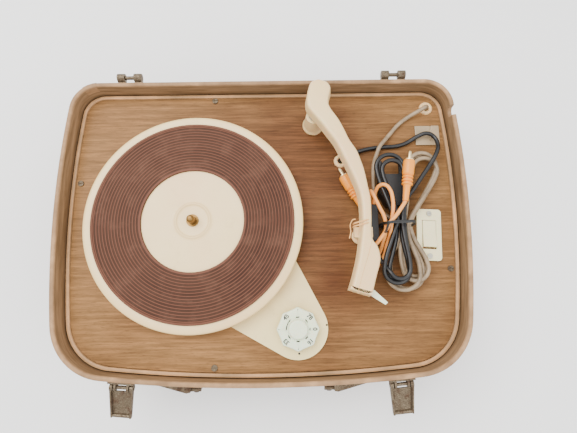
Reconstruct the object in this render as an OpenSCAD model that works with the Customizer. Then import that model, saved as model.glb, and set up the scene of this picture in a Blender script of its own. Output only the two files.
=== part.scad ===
// Portable record player in a suitcase base: lift-off lid removed, idler drive, four speeds.
// Millimetres. +Z is up, +X is right, the front with its latches faces -Y.
// Heights named *_z are above the motor board's top face unless they say otherwise.

/* [Case] */
// Width of the case across its bowed sides
case_w = 377; // [360:1:460]
// Depth of the case at its middle
case_d = 279; // [275:1:340]
// Height of the case wall
wall_h = 92; // [85:1:120]
// Thickness of the wall with its covering
wall_t = 4.4; // [3:0.1:8]
// Thickness of the bottom panel
bottom_t = 4; // [3:0.5:8]
// Depth of the motor board below the rim
board_drop = 18.6; // [15:0.1:30]
// Radius of the bowed sides
side_bow_r = 875; // [600:5:2000]
// Radius of the bowed front
front_bow_r = 1300; // [900:10:3000]
// Corner radius at the back
back_corner_r = 27; // [15:1:40]
// Corner radius at the front
front_corner_r = 52; // [25:1:70]
// Width of the cable slot in the right wall
slot_w = 10; // [6:0.5:16]
// Depth of the cable slot below the rim
slot_depth = 8.5; // [6:0.5:16]
// Height of the rubber feet
foot_h = 6; // [3:0.5:12]
// Radius of the rubber feet
foot_r = 9; // [6:0.5:14]

/* [Motor board] */
// Thickness of the plywood board
board_t = 6; // [4:0.5:12]
// Width of the edge strip round the board
strip_w = 3.2; // [2:0.1:6]
// Gap on each side of the edge strip
strip_gap = 0.8; // [0.3:0.1:1.5]
// Height of the edge strip above the board
strip_rise = 1.2; // [0.5:0.1:3]
// Width of the cleats under the board
cleat_w = 14; // [8:1:20]
// Height of the cleats
cleat_h = 12; // [8:1:20]

/* [Platter and drive] */
// Diameter of the platter
platter_d = 200; // [160:1:202]
// Gap between the platter and the case's left side
platter_side_gap = 26.3; // [12:0.1:40]
// Gap between the platter and the case's back
platter_back_gap = 36.1; // [20:0.1:38]
// Height of the playing surface above the board
mat_top_z = 18; // [15:0.1:30]
// Thickness of the rubber mat
mat_t = 1.8; // [1:0.1:4]
// Width of the platter's edge left free round the mat
mat_margin = 8; // [5:0.5:20]
// Radius of the hole in the mat
mat_hole_r = 46.5; // [30:0.5:60]
// Radius of the spindle where a record sits on it
spindle_r = 3.55; // [3.5:0.01:3.6]
// Height of the spindle above the mat
spindle_rise = 10; // [8:0.5:20]
// Radial running clearance of shafts in their bores
running = 0.05; // [0.02:0.01:0.1]
// Radius of the idler wheel over its tyre
idler_r = 18; // [14:0.5:22]
// Radius of the speed knob at its points
knob_r = 19.3; // [14:0.1:25]
// Gap between the platter and the speed knob
knob_gap = 15.2; // [8:0.1:20]
// Direction of the knob from the spindle
knob_angle = -45.8; // [-60:0.1:-35]

/* [Tonearm] */
// Gap between the platter and the arm pivot
pivot_gap = 47.9; // [40:0.1:60]
// Direction of the arm pivot from the spindle
pivot_angle = 40.9; // [30:0.1:45]
// Height of the arm's underside
arm_low_z = 27; // [24:0.5:34]
// Height of the arm's body
arm_h = 11.5; // [10:0.5:16]
// Wall thickness of the moulded arm
arm_wall = 1.6; // [1:0.1:2.4]
// Radius of the arm post
post_r = 9; // [7:0.5:12]

/* [Fittings] */
// Distance of each latch from the middle
latch_x = 118; // [90:0.5:130]
// Length of the latch lever from its pin
latch_len = 27; // [20:0.5:34]
// Width of the latch lever at its pin
latch_w = 20; // [14:0.5:26]
// Angle at which an open latch hangs below the horizontal
latch_droop = 20; // [5:1:45]
// Distance of each lid hinge from the middle
hinge_x = 127.5; // [90:0.5:140]
// Radius of the hinge barrel
barrel_r = 4; // [3:0.1:6]
// Radius of the hinge pins
hinge_pin_r = 1.75; // [1.2:0.05:2.5]
// Distance from the middle to the inner end of each handle bracket
bracket_x = 62; // [50:0.5:75]
// Length of each handle bracket
bracket_len = 29; // [20:0.5:40]
// Reach of the handle below its pivots
handle_drop = 34; // [28:1:45]
// Width of the rocker switch plate
switch_w = 22.5; // [18:0.5:30]
// Length of the rocker switch plate
switch_len = 48; // [40:0.5:60]

/* [Cords] */
// Diameter of the mains cord
mains_d = 4; // [3:0.1:6]
// Diameter of the signal cord
signal_d = 4; // [3:0.1:6]
// Diameter of the phono leads
lead_d = 3.4; // [2.5:0.1:4]

/* [Hidden] */
$fn = 64;

// Small amounts
EPS = 0.01;
CUT = 1;
AIR = 0.3;

// Case outline: bowed sides and front, straight back, tangent corner arcs
widest_y = 21;
side_c = [case_w / 2 - side_bow_r, widest_y];
front_c = [0, front_bow_r - case_d / 2];
back_y = case_d / 2;
back_fillet_y = back_y - back_corner_r;
back_fillet = [side_c[0] + sqrt(pow(side_bow_r - back_corner_r, 2) - pow(back_fillet_y - widest_y, 2)),
    back_fillet_y];
front_fillet = meet(side_c, side_bow_r - front_corner_r, front_c, front_bow_r - front_corner_r);

// Heights above the floor
wall_z = foot_h;
rim_z = foot_h + wall_h;
board_z = rim_z - board_drop;

// The lever and the hinge barrel reach past the case, so the case sits off the middle in Y
latch_pin_r = 1.5;
latch_barrel_r = 3.2;
latch_stand = 4.6;
latch_turn = asin(latch_x / front_bow_r);
latch_face_y = front_c[1] - sqrt(front_bow_r * front_bow_r - latch_x * latch_x);
latch_pin_z = -7.6;
latch_reach = -case_d / 2 - (latch_face_y - latch_stand - latch_len * cos(latch_droop));
hinge_reach = barrel_r * 2 + 1.2;
case_y = (latch_reach - hinge_reach) / 2;

// Places on the board, from the case's own middle
spindle_p = [(platter_d - case_w) / 2 + platter_side_gap, (case_d - platter_d) / 2 - platter_back_gap];
knob_p = spindle_p + (platter_d / 2 + knob_gap + knob_r) * [cos(knob_angle), sin(knob_angle)];
pivot_p = spindle_p + (platter_d / 2 + pivot_gap) * [cos(pivot_angle), sin(pivot_angle)];
mat_r = platter_d / 2 - mat_margin;
rest_p = pivot_p + [40.5, -111];
right_x = case_w / 2;
switch_p = [right_x - 33.5, -10.2];
switch_turn = -3;
voltage_p = [right_x - 27, back_y - 51.2];
mains_hole_p = [right_x - 26.3, back_y - 22.5];
signal_hole_p = pivot_p + [26, -37];
slot_y = back_y - 32.2;
screw_r = 1.2;
switch_body_w = 13;
switch_body_len = 27;
grommet_neck_r = 4.5;
grommet_flange_r = 6;
screw_places = [[-47.4, back_y - 11.8], [14 - right_x, 43.9], [-42.3, 13.7 - back_y],
    [right_x - 15.4, -41.5]];
foot_stud_r = 2;
foot_places = [for (sx = [-1, 1], sy = [-1, 1]) [sx * (right_x - 46), sy * (back_y - 42)]];

// Deck plate and drive under the platter
plate_t = 1.5;
plate_disc_r = platter_d / 2 - 34;
plate_end_r = 27;
well_r = plate_disc_r - 8;
web_t = 1.7;
platter_top_z = mat_top_z - mat_t;
skirt_low_z = 3.2;
rim_inner_r = platter_d / 2 - 7;
boss_r = 11;
bearing_r = 8;
bearing_low_z = -46;
shaft_r = 4;
ball_r = 2.5;
drive_angle = -28;
idler_p = spindle_p + (rim_inner_r - idler_r - AIR) * [cos(drive_angle), sin(drive_angle)];
// Pulley step radii for 78, 45, 33 and 16 turns a minute, lowest first
pulley_steps = [5.2, 3.0, 2.2, 1.6];
step_h = 2.6;
pulley_low_z = 2.6;
hang_screw_r = 1.5;
motor_gap = idler_r + 5.2 + AIR;
motor_p = idler_p + motor_gap * [cos(drive_angle - 150), sin(drive_angle - 150)];
idler_mid_z = 8.4;
tyre_h = 2.4;
idler_post_p = idler_p + [-12, -26];
motor_shaft_r = 2;
stator_top_z = -18;
stator_h = 16;
stator_w = 56;
stator_d = 46;
rotor_r = 11;
knob_shaft_r = 3;
knob_low_z = 3;
knob_h = 7;
knob_cap_r = 8.4;
knob_cap_h = 4.5;

// Tonearm
post_stub_r = 5;
rest_stud_r = 2;
arm_top_z = arm_low_z + arm_h;
lift_z = arm_low_z + 4;
lift_pin_r = 1.5;
pin_left = -4.8;
pin_right = 14;
fork_left = -2.2;
fork_right = 12;
arm_turn = 13.3;
head_turn = -5;
arm_forward = [sin(arm_turn), -cos(arm_turn)];
stylus_reach = 159;
stylus_p = pivot_p + stylus_reach * arm_forward;
stylus_axis_z = arm_low_z - 2;
record_t = 1.6;
stylus_drop = stylus_axis_z - mat_top_z - record_t;
arm_shaft_r = 2.5;
// Edges of the arm seen from above, from its rear tip, measured from the pivot
arm_left_edge = [[2, 29.8], [-4.5, 26.2], [-7.2, 16], [-8.5, 8], [-6.5, 0], [3.5, -13], [10, -22.5],
    [16.5, -32], [23, -46], [30, -62.5], [35, -77], [36.5, -88.5], [36.5, -100], [36, -109],
    [34.8, -118], [32.4, -132], [28.8, -146], [24, -160.6]];
arm_right_edge = [[41.8, -166.2], [44.5, -162], [46.5, -155.5], [48.7, -148],
    [51, -141], [52.3, -133.5], [50.5, -124.5], [46.5, -118], [46, -109], [46.5, -100],
    [46.7, -84.5], [44.8, -71.5], [42.5, -58], [40, -49], [36.5, -39], [30.5, -29], [26, -18.5],
    [21, -8.5], [16, -1], [13.2, 5], [13.4, 11], [15, 16.5], [15.2, 22], [12.2, 26.8], [7, 29.4]];
arm_outline = concat(arm_left_edge, arm_right_edge);

// Cord routes: [x, y, height above the board]
mains_route = [[162.2, 117, -4], [162.2, 117, 4], [159, 114.5, 8], [152, 111, 6], [143, 106.5, 3],
    [133, 99, 2.2], [125, 90, 2.4], [117.5, 81, 5.2], [112.8, 75, 6.6], [109.5, 67, 5.2], [107, 58, 2.4],
    [106, 46, 2.2], [106, 34, 2.2], [107.2, 22.5, 2.2], [111.6, 12.5, 3.4], [119, 6, 4.4],
    [127.5, 2, 5.4]];
signal_route = [[75.5, 63.3, -4], [75.5, 63.3, 3], [79, 66, 5.5], [86, 69.5, 3], [95, 72.5, 2.6],
    [105, 75, 2.2], [114.5, 76, 2.2], [124, 76.6, 2.2], [132, 77.4, 2.6], [141, 80.5, 3],
    [150, 85.5, 5], [159, 88, 7], [165.5, 85, 6.5], [168, 77, 8.5], [164.8, 67, 13.4],
    [157, 54, 13.6], [149, 43, 13.8], [141, 32, 14.2], [133.5, 22, 15]];
lead_a_route = [[103.4, 17, 10.2], [103.8, 23, 12.5], [104.6, 29, 17.5], [107.2, 32.3, 22.6],
    [111, 32, 25.6], [114.8, 27.5, 26.6], [116.8, 19, 26.4], [116.9, 10, 25.6], [116.2, 3.5, 24],
    [115.6, -2.5, 22.6], [115, -10, 18], [112.8, -20, 12], [110.4, -30, 8.5], [104.5, -38.5, 6.5],
    [97, -40.5, 6], [92.8, -34.5, 6.4], [96.5, -25, 13.5], [102, -20, 19], [106.8, -13.5, 22.5],
    [110.2, -8, 25.6], [113, -2.5, 27.6], [118, 3, 28], [123.2, 9.8, 27.6], [127.9, 16.5, 27]];
lead_b_route = [[99.6, 17, 10.2], [99.2, 22, 13], [98.6, 26.3, 17], [98.6, 27.4, 21.5],
    [99.6, 24.5, 25], [101.8, 18.5, 26.4], [105.1, 11, 26], [108.4, 4, 25], [110, -2.5, 24],
    [110.3, -9, 20.5], [109.8, -14, 17], [108.5, -21, 11.5], [106, -28.5, 6.4], [101.5, -33.5, 3.4],
    [95.8, -33.5, 2.4], [92.6, -28.5, 2.2], [94.5, -22, 2.2], [98.4, -14, 2.2], [99.2, -2, 2.4],
    [94.5, 12.5, 7]];

// Point where two circles cross, on the right of the line from the first to the second
function meet(c1, r1, c2, r2) =
    let (d = c2 - c1, gap = norm(d), a = (r1 * r1 - r2 * r2 + gap * gap) / (2 * gap),
        h = sqrt(r1 * r1 - a * a))
    c1 + a * d / gap + h * [d[1], -d[0]] / gap;

function direction(v) = atan2(v[1], v[0]);

function arc(c, r, a0, a1, n) =
    [for (i = [0:n]) let (a = a0 + (a1 - a0) * i / n) c + r * [cos(a), sin(a)]];

// Right half of the case outline moved in by inset, from the front's middle to the back
function half_outline(inset) =
    let (front_turn = direction(front_fillet - front_c),
        side_low = direction(front_fillet - side_c),
        side_high = direction(back_fillet - side_c))
    concat(arc(front_c, front_bow_r - inset, -90, front_turn, 8),
        arc(front_fillet, front_corner_r - inset, front_turn, side_low, 10),
        arc(side_c, side_bow_r - inset, side_low, side_high, 12),
        arc(back_fillet, back_corner_r - inset, side_high, 90, 8));

function case_outline(inset) =
    let (right = half_outline(inset), n = len(right))
    concat(right, [for (i = [n - 1:-1:1]) [-right[i][0], right[i][1]]]);

function unit(v) = v / norm(v);

// Closed outline moved sideways by distance, to the left of its direction of travel
function moved_loop(p, distance) =
    let (n = len(p))
    [for (i = [0:n - 1]) let (t = unit(p[(i + 1) % n] - p[(i + n - 1) % n]))
        p[i] + distance * [-t[1], t[0]]];

function tangent(p, i) = unit(p[min(i + 1, len(p) - 1)] - p[max(i - 1, 0)]);

function carried(p, i, v) =
    i == len(p) ? [] :
    let (t = tangent(p, i), u = unit(v - (v * t) * t))
    concat([u], carried(p, i + 1, u));

// Round tube along a list of points
module tube(p, d, sides = 8) {
    normals = carried(p, 0, [1, 0.2, 0]);
    n = len(p);
    points = [for (i = [0:n - 1], k = [0:sides - 1])
        let (t = tangent(p, i), u = normals[i], w = cross(t, u), a = 360 * k / sides)
        p[i] + d / 2 * (cos(a) * u + sin(a) * w)];
    sides_faces = [for (i = [0:n - 2], k = [0:sides - 1])
        let (a = i * sides + k, b = i * sides + (k + 1) % sides)
        [a, a + sides, b + sides, b]];
    ends = [[for (k = [0:sides - 1]) k],
        [for (k = [sides - 1:-1:0]) (n - 1) * sides + k]];
    polyhedron(points, concat(sides_faces, ends));
}

// Places children at a height above the board, in the case's own plan
module on_board(p = [0, 0], z = 0) {
    translate([p[0], p[1] + case_y, board_z + z])
        children();
}

module ring(outer, inner, h) {
    difference() {
        cylinder(r = outer, h = h);
        translate([0, 0, -CUT])
            cylinder(r = inner, h = h + 2 * CUT);
    }
}

module slotted_screw(head_r, shank_r, length) {
    difference() {
        union() {
            cylinder(r = head_r, h = 1.2);
            translate([0, 0, -length])
                cylinder(r = shank_r, h = length + EPS);
        }
        translate([-head_r, -0.4, 0.6])
            cube([2 * head_r, 0.8, CUT]);
    }
}

// ---- Case ----

module case_ring(outer_inset, inner_inset, low_z, high_z) {
    translate([0, case_y, low_z])
        difference() {
            linear_extrude(high_z - low_z)
                polygon(case_outline(outer_inset));
            translate([0, 0, -CUT])
                linear_extrude(high_z - low_z + 2 * CUT)
                    polygon(case_outline(inner_inset));
        }
}

module case_wall() {
    slot_low = rim_z - slot_depth + slot_w / 2;
    color("tan")
        difference() {
            case_ring(0, wall_t, wall_z, rim_z);
            translate([right_x - 4 * wall_t, slot_y + case_y, slot_low])
                rotate([0, 90, 0])
                    cylinder(r = slot_w / 2, h = 6 * wall_t);
            translate([right_x - 4 * wall_t, slot_y + case_y - slot_w / 2, slot_low])
                cube([6 * wall_t, slot_w, slot_depth]);
        }
}

module case_bottom() {
    color("burlywood")
        difference() {
            translate([0, case_y, wall_z])
                linear_extrude(bottom_t)
                    polygon(case_outline(wall_t));
            for (p = foot_places)
                translate([p[0], p[1] + case_y, 0])
                    cylinder(r = foot_stud_r, h = foot_h + 2 * bottom_t);
        }
}

module board_cleats() {
    cleat_top = board_z - board_t;
    color("peru")
        difference() {
            case_ring(wall_t, wall_t + cleat_w, cleat_top - cleat_h, cleat_top);
            for (p = screw_places)
                on_board(p, -2 * cleat_h)
                    cylinder(r = screw_r, h = 2 * cleat_h);
            on_board(mains_hole_p, -board_t - cleat_h - CUT)
                cylinder(r = grommet_flange_r + 1, h = cleat_h + 2 * CUT);
        }
}

module edge_strip() {
    color("tan")
        case_ring(wall_t + strip_gap, wall_t + strip_gap + strip_w, board_z - board_t,
            board_z + strip_rise);
}

module motor_board() {
    color("sandybrown")
        difference() {
            translate([0, case_y, board_z - board_t])
                linear_extrude(board_t)
                    polygon(case_outline(wall_t + 2 * strip_gap + strip_w));
            on_board(spindle_p, -2 * board_t)
                cylinder(r = well_r, h = 4 * board_t);
            on_board(motor_p, -2 * board_t)
                cylinder(r = 34, h = 4 * board_t);
            on_board(knob_p, -2 * board_t)
                cylinder(r = 14, h = 4 * board_t);
            on_board(pivot_p, -2 * board_t)
                cylinder(r = post_stub_r, h = 4 * board_t);
            for (p = [mains_hole_p, signal_hole_p])
                on_board(p, -2 * board_t)
                    cylinder(r = grommet_neck_r, h = 4 * board_t);
            on_board(rest_p, -2 * board_t)
                cylinder(r = rest_stud_r, h = 4 * board_t);
            on_board(switch_p)
                rotate([0, 0, switch_turn])
                    translate([-switch_body_w / 2 - 0.5, -switch_body_len / 2 - 0.5, -2 * board_t])
                        cube([switch_body_w + 1, switch_body_len + 1, 4 * board_t]);
            for (p = screw_places)
                on_board(p, -2 * board_t)
                    cylinder(r = screw_r + 0.4, h = 4 * board_t);
            switch_screw_places()
                translate([0, 0, -2 * board_t])
                    cylinder(r = screw_r, h = 4 * board_t);
        }
}

module board_screws() {
    color("dimgray")
        for (p = screw_places)
            on_board(p)
                slotted_screw(2.8, screw_r, board_t + 8);
}

module rubber_feet() {
    color("dimgray")
        for (p = foot_places)
            translate([p[0], p[1] + case_y, 0])
                union() {
                    difference() {
                        cylinder(r1 = foot_r - 1, r2 = foot_r, h = foot_h);
                        translate([0, 0, -CUT])
                            cylinder(r = 4, h = 2 + CUT);
                    }
                    translate([0, 0, foot_h - EPS])
                        cylinder(r = foot_stud_r, h = bottom_t + EPS);
                    translate([0, 0, foot_h + bottom_t - EPS])
                        cylinder(r = 2 * foot_stud_r, h = 2);
                }
}

// ---- Lid hinges, latches and handle ----

knuckle_len = 7.2;
hinge_gap = 8.8;
hinge_w = 2 * knuckle_len + hinge_gap;
leaf_t = 1.2;
hinge_axis_z = board_drop - 2;

module hinge_at(side) {
    on_board([side * hinge_x, back_y], hinge_axis_z)
        children();
}

module hinge_leaves() {
    axis_y = leaf_t + barrel_r;
    color("gray")
        for (s = [-1, 1])
            hinge_at(s)
                difference() {
                    union() {
                        translate([-hinge_w / 2, 0, -26])
                            cube([hinge_w, leaf_t, 26 - barrel_r + 1]);
                        for (e = [-1, 1])
                            translate([e * (hinge_w - knuckle_len) / 2 - knuckle_len / 2, 0, 0]) {
                                translate([0, axis_y, 0])
                                    rotate([0, 90, 0])
                                        cylinder(r = barrel_r, h = knuckle_len);
                                translate([0, 0, -barrel_r])
                                    cube([knuckle_len, axis_y, barrel_r]);
                            }
                    }
                    translate([-hinge_w, axis_y, 0])
                        rotate([0, 90, 0])
                            cylinder(r = hinge_pin_r, h = 2 * hinge_w);
                }
}

// Local frame of a latch: origin on the wall's outer face at the pin's height, -Y outwards
module latch_at(side) {
    on_board([side * latch_x, latch_face_y], board_drop + latch_pin_z)
        rotate([0, 0, side * latch_turn])
            children();
}

module latch_plates() {
    ear_t = 2;
    ear_x = latch_w / 2 - 4.5;
    color("dimgray")
        for (s = [-1, 1])
            latch_at(s) {
                difference() {
                    union() {
                        translate([-latch_w / 2 - 1, -1.4, -20])
                            cube([latch_w + 2, 1.4, 26]);
                        for (e = [-1, 1])
                            translate([e * ear_x - ear_t / 2, -latch_stand, 0]) {
                                rotate([0, 90, 0])
                                    cylinder(r = latch_barrel_r, h = ear_t);
                                translate([0, 0, -latch_barrel_r])
                                    cube([ear_t, latch_stand, 2 * latch_barrel_r]);
                            }
                    }
                    translate([-latch_w, -latch_stand, 0])
                        rotate([0, 90, 0])
                            cylinder(r = latch_pin_r, h = 2 * latch_w);
                }
            }
}

// Plain steel pins of the two hinges and the two latches
module pivot_pins() {
    color("silver")
        for (s = [-1, 1]) {
            hinge_at(s)
                translate([-hinge_w / 2, leaf_t + barrel_r, 0])
                    rotate([0, 90, 0])
                        cylinder(r = hinge_pin_r, h = hinge_w);
            latch_at(s)
                translate([-latch_w / 2 + 0.5, -latch_stand, 0])
                    rotate([0, 90, 0])
                        cylinder(r = latch_pin_r, h = latch_w - 1);
        }
}

// Lever of a latch: two eyes on the pin, a tapering channel and a curled lip
module latch_lever() {
    eye_t = 2.6;
    eye_x = latch_w / 2 - 1.3;
    tip_w = latch_w - 2.5;
    start = latch_barrel_r + AIR;
    translate([0, -latch_stand, 0])
        rotate([latch_droop, 0, 0])
            difference() {
                union() {
                    for (e = [-1, 1])
                        translate([e * eye_x - eye_t / 2, 0, 0])
                            rotate([0, 90, 0])
                                cylinder(r = latch_barrel_r, h = eye_t);
                    translate([0, 0, -1])
                        linear_extrude(1.2)
                            polygon([[-latch_w / 2, -start], [latch_w / 2, -start],
                                [tip_w / 2, -latch_len], [-tip_w / 2, -latch_len]]);
                    for (e = [-1, 1])
                        translate([0, 0, -1])
                            linear_extrude(3.6)
                                polygon([[e * latch_w / 2, 0], [e * (latch_w / 2 - 1.4), 0],
                                    [e * (tip_w / 2 - 1.4), -latch_len], [e * tip_w / 2, -latch_len]]);
                    translate([-tip_w / 2, -latch_len + 1.2, 0.6])
                        rotate([0, 90, 0])
                            cylinder(r = 1.6, h = tip_w);
                }
                translate([-latch_w, 0, 0])
                    rotate([0, 90, 0])
                        cylinder(r = latch_pin_r + running, h = 2 * latch_w);
            }
}

module latch_left() {
    color("dimgray")
        latch_at(-1)
            latch_lever();
}

module latch_right() {
    color("dimgray")
        latch_at(1)
            latch_lever();
}

handle_pin_r = 2;
bracket_face_y = front_c[1] - sqrt(front_bow_r * front_bow_r - pow(bracket_x + bracket_len / 2, 2));
bracket_turn = asin((bracket_x + bracket_len / 2) / front_bow_r);
bracket_thick = 8;
bracket_z = -3;
handle_axis_y = -case_d / 2 - 4.2;

// Local frame of a handle bracket: its middle on the wall's face, -Y outwards
module handle_at(side) {
    on_board([side * (bracket_x + bracket_len / 2), bracket_face_y], bracket_z)
        rotate([0, 0, side * bracket_turn])
            children();
}

module handle_pin_hole() {
    on_board([0, handle_axis_y], bracket_z)
        translate([-bracket_x - 11, 0, 0])
            rotate([0, 90, 0])
                cylinder(r = handle_pin_r + running, h = 2 * bracket_x + 22);
}

module handle_brackets() {
    color("gray")
        for (s = [-1, 1])
            difference() {
                handle_at(s)
                    translate([0, 0, -7])
                        linear_extrude(14)
                            polygon([[s * bracket_len / 2, 0], [s * bracket_len / 2, -2.5],
                                [-s * bracket_len / 2 + s * 3, -bracket_thick],
                                [-s * bracket_len / 2, -bracket_thick + 0.8],
                                [-s * bracket_len / 2, 0]]);
                handle_pin_hole();
            }
}

module handle() {
    leg_x = bracket_x - 5;
    grip_x = bracket_x - 8;
    color("saddlebrown")
        on_board([0, handle_axis_y], bracket_z) {
            for (s = [-1, 1]) {
                translate([s > 0 ? leg_x : -bracket_x - 9, 0, 0])
                    rotate([0, 90, 0])
                        cylinder(r = handle_pin_r, h = bracket_x + 9 - leg_x);
                translate([s * (leg_x + 1.2) - 3.2, -2.8, -handle_drop])
                    cube([6.4, 5.6, handle_drop]);
                translate([s * (leg_x + 1.2) - 3.2, 0, 0])
                    rotate([0, 90, 0])
                        cylinder(r = 2.8, h = 6.4);
            }
            translate([-grip_x - 9.4, -3, -handle_drop - 6])
                cube([2 * grip_x + 18.8, 6, 14]);
        }
}

// ---- Deck plate, bearing and motor ----

// Teardrop: an arc under the platter, a smaller one round the knob and their two tangents
module teardrop(big_r, small_r, h) {
    span = norm(knob_p - spindle_p);
    lean = acos((big_r - small_r) / span);
    toward = direction(knob_p - spindle_p);
    linear_extrude(h)
        polygon(concat(arc(spindle_p, big_r, toward + lean, toward - lean + 360, 48),
            arc(knob_p, small_r, toward - lean, toward + lean, 20)));
}

module deck_plate() {
    color("antiquewhite")
        difference() {
            on_board()
                teardrop(plate_disc_r, plate_end_r, plate_t);
            on_board(spindle_p, -CUT)
                cylinder(r = bearing_r, h = 4);
            on_board(motor_p, -CUT)
                cylinder(r = 8, h = 4);
            on_board(knob_p, -CUT)
                cylinder(r = knob_shaft_r + running, h = 4);
            on_board(idler_post_p, -CUT)
                cylinder(r = 2, h = 4);
            for (p = motor_post_places())
                on_board(p, -CUT)
                    cylinder(r = hang_screw_r, h = 4);
            on_board(knob_p + [0.8, -21.5], -CUT)
                cylinder(r = 1, h = 4);
            on_board(knob_p + [26 * cos(6), 26 * sin(6)], plate_t - 0.4)
                cylinder(r = 1, h = 4);
        }
}

function motor_post_places() =
    [for (s = [-1, 1]) motor_p + s * (stator_w / 2 - 5) * [cos(45), sin(45)]];

// Screws that hang the motor from the deck plate through its rubber bushes
module motor_screws() {
    color("silver")
        for (p = motor_post_places())
            on_board(p, plate_t) {
                cylinder(r = 2 * hang_screw_r, h = 1.3);
                translate([0, 0, stator_top_z - stator_h - 8 - plate_t])
                    cylinder(r = hang_screw_r, h = plate_t - stator_top_z + stator_h + 8 + EPS);
            }
}

module rubber_bushes() {
    color("black")
        for (p = motor_post_places())
            on_board(p, -12)
                ring(4.5, hang_screw_r, 12);
}

module bearing_tube() {
    color("gray")
        on_board(spindle_p, bearing_low_z)
            difference() {
                union() {
                    cylinder(r = bearing_r, h = -bearing_low_z + plate_t);
                    translate([0, 0, -bearing_low_z - 3])
                        cylinder(r = 16, h = 3);
                }
                translate([0, 0, 4])
                    cylinder(r = shaft_r + running, h = -bearing_low_z + 4);
            }
}

module thrust_ball() {
    color("silver")
        on_board(spindle_p, bearing_low_z + 4 + ball_r)
            sphere(r = ball_r);
}

module stator_stack() {
    color("dimgray")
        on_board(motor_p, stator_top_z - stator_h)
            rotate([0, 0, 45])
                difference() {
                    translate([-stator_w / 2, -stator_d / 2, 0])
                        cube([stator_w, stator_d, stator_h]);
                    translate([0, 0, -CUT])
                        cylinder(r = rotor_r + 0.5, h = stator_h + 2 * CUT);
                    translate([-9, -stator_d / 2 + 9 - EPS, -CUT])
                        cube([18, 2, stator_h + 2 * CUT]);
                    for (s = [-1, 1])
                        translate([s * (stator_w / 2 - 5), 0, -CUT])
                            cylinder(r = hang_screw_r, h = stator_h + 2 * CUT);
                }
}

module stator_coil() {
    coil_w = 30;
    color("firebrick")
        on_board(motor_p, stator_top_z - stator_h)
            rotate([0, 0, 45])
                difference() {
                    translate([-coil_w / 2, -stator_d / 2 - 9, -7])
                        cube([coil_w, 18 - AIR, stator_h + 14]);
                    translate([-coil_w, -stator_d / 2, 0])
                        cube([2 * coil_w, 40, stator_h]);
                    translate([-coil_w, -stator_d / 2 - EPS, 0])
                        cube([2 * coil_w, 9, stator_h]);
                }
}

// Two bridges over and under the stator carry the rotor's bearings and the hanging screws
module motor_bridges() {
    arm_len = stator_w / 2 - 5;
    color("silver")
        for (s = [-1, 1])
            on_board(motor_p, s > 0 ? stator_top_z : stator_top_z - stator_h - 8)
                rotate([0, 0, 45])
                    difference() {
                        union() {
                            translate([-arm_len - 5, -6, s > 0 ? 4 : 2])
                                cube([2 * arm_len + 10, 12, 2]);
                            for (e = [-1, 1])
                                translate([e * arm_len, 0, 0])
                                    cylinder(r = 4.5, h = s > 0 ? 6 : 8);
                            translate([0, 0, s > 0 ? 3.5 : 0])
                                cylinder(r = 5.5, h = 4);
                        }
                        translate([0, 0, -CUT])
                            cylinder(r = motor_shaft_r + running, h = 12);
                        for (e = [-1, 1])
                            translate([e * arm_len, 0, -CUT])
                                cylinder(r = hang_screw_r, h = 12);
                    }
}

module rotor_core() {
    color("silver")
        on_board(motor_p, stator_top_z - stator_h)
            ring(rotor_r, motor_shaft_r, stator_h);
}

module rotor_shaft() {
    low = stator_top_z - stator_h - 8;
    color("gainsboro")
        on_board(motor_p, low)
            cylinder(r = motor_shaft_r, h = pulley_low_z - low - AIR);
}

module stepped_pulley() {
    color("gold")
        on_board(motor_p) {
            translate([0, 0, pulley_low_z - AIR])
                cylinder(r = pulley_steps[0], h = AIR + EPS);
            for (i = [0:3])
                translate([0, 0, pulley_low_z + i * step_h - (i > 0 ? EPS : 0)])
                    cylinder(r = pulley_steps[i], h = step_h + (i > 0 ? EPS : 0));
        }
}

// ---- Idler ----

idler_axle_r = 1.5;

module idler_arm() {
    reach = norm(idler_p - idler_post_p);
    color("silver")
        on_board() {
            translate([idler_p[0], idler_p[1], idler_mid_z - tyre_h / 2 - 1.4])
                cylinder(r = idler_axle_r, h = tyre_h + 2.4);
            translate([idler_p[0], idler_p[1], idler_mid_z - tyre_h / 2 - 1.4])
                cylinder(r = 4, h = 1);
            difference() {
                union() {
                    translate([idler_post_p[0], idler_post_p[1], idler_mid_z - tyre_h / 2 - 1.4])
                        rotate([0, 0, direction(idler_p - idler_post_p)])
                            translate([0, -3, 0])
                                cube([reach, 6, 1]);
                    translate([idler_post_p[0], idler_post_p[1], idler_mid_z - tyre_h / 2 - 1.4])
                        cylinder(r = 4.2, h = 3.4);
                }
                translate([idler_post_p[0], idler_post_p[1], -CUT])
                    cylinder(r = 2 + running, h = 20);
            }
        }
}

module idler_wheel() {
    color("gold")
        on_board(idler_p, idler_mid_z - tyre_h / 2)
            difference() {
                union() {
                    cylinder(r = 4, h = tyre_h);
                    translate([0, 0, 0.7])
                        cylinder(r = idler_r - 2.5, h = 1);
                }
                translate([0, 0, -CUT])
                    cylinder(r = idler_axle_r + running, h = 8);
            }
}

module idler_tyre() {
    color("black")
        on_board(idler_p, idler_mid_z - tyre_h / 2)
            rotate_extrude()
                polygon([[idler_r - 2.5, 0], [idler_r - 0.6, 0], [idler_r, 0.6],
                    [idler_r, tyre_h - 0.6], [idler_r - 0.6, tyre_h], [idler_r - 2.5, tyre_h]]);
}

// ---- Platter ----

module platter() {
    outer = platter_d / 2;
    top = platter_top_z;
    color("antiquewhite")
        on_board(spindle_p)
            rotate_extrude($fn = 180)
                polygon([[shaft_r + 1.5, top - 8], [boss_r, top - 8], [boss_r, top - web_t],
                    [rim_inner_r, top - web_t], [rim_inner_r, skirt_low_z],
                    [outer - 1.2, skirt_low_z], [outer, skirt_low_z + 1.2], [outer, top - 4.2],
                    [outer - 1, top - 3], [outer - 2.6, top - 2.4], [outer - 3.4, top - 0.6],
                    [outer - 4.2, top], [shaft_r + 1.5, top]]);
}

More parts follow.
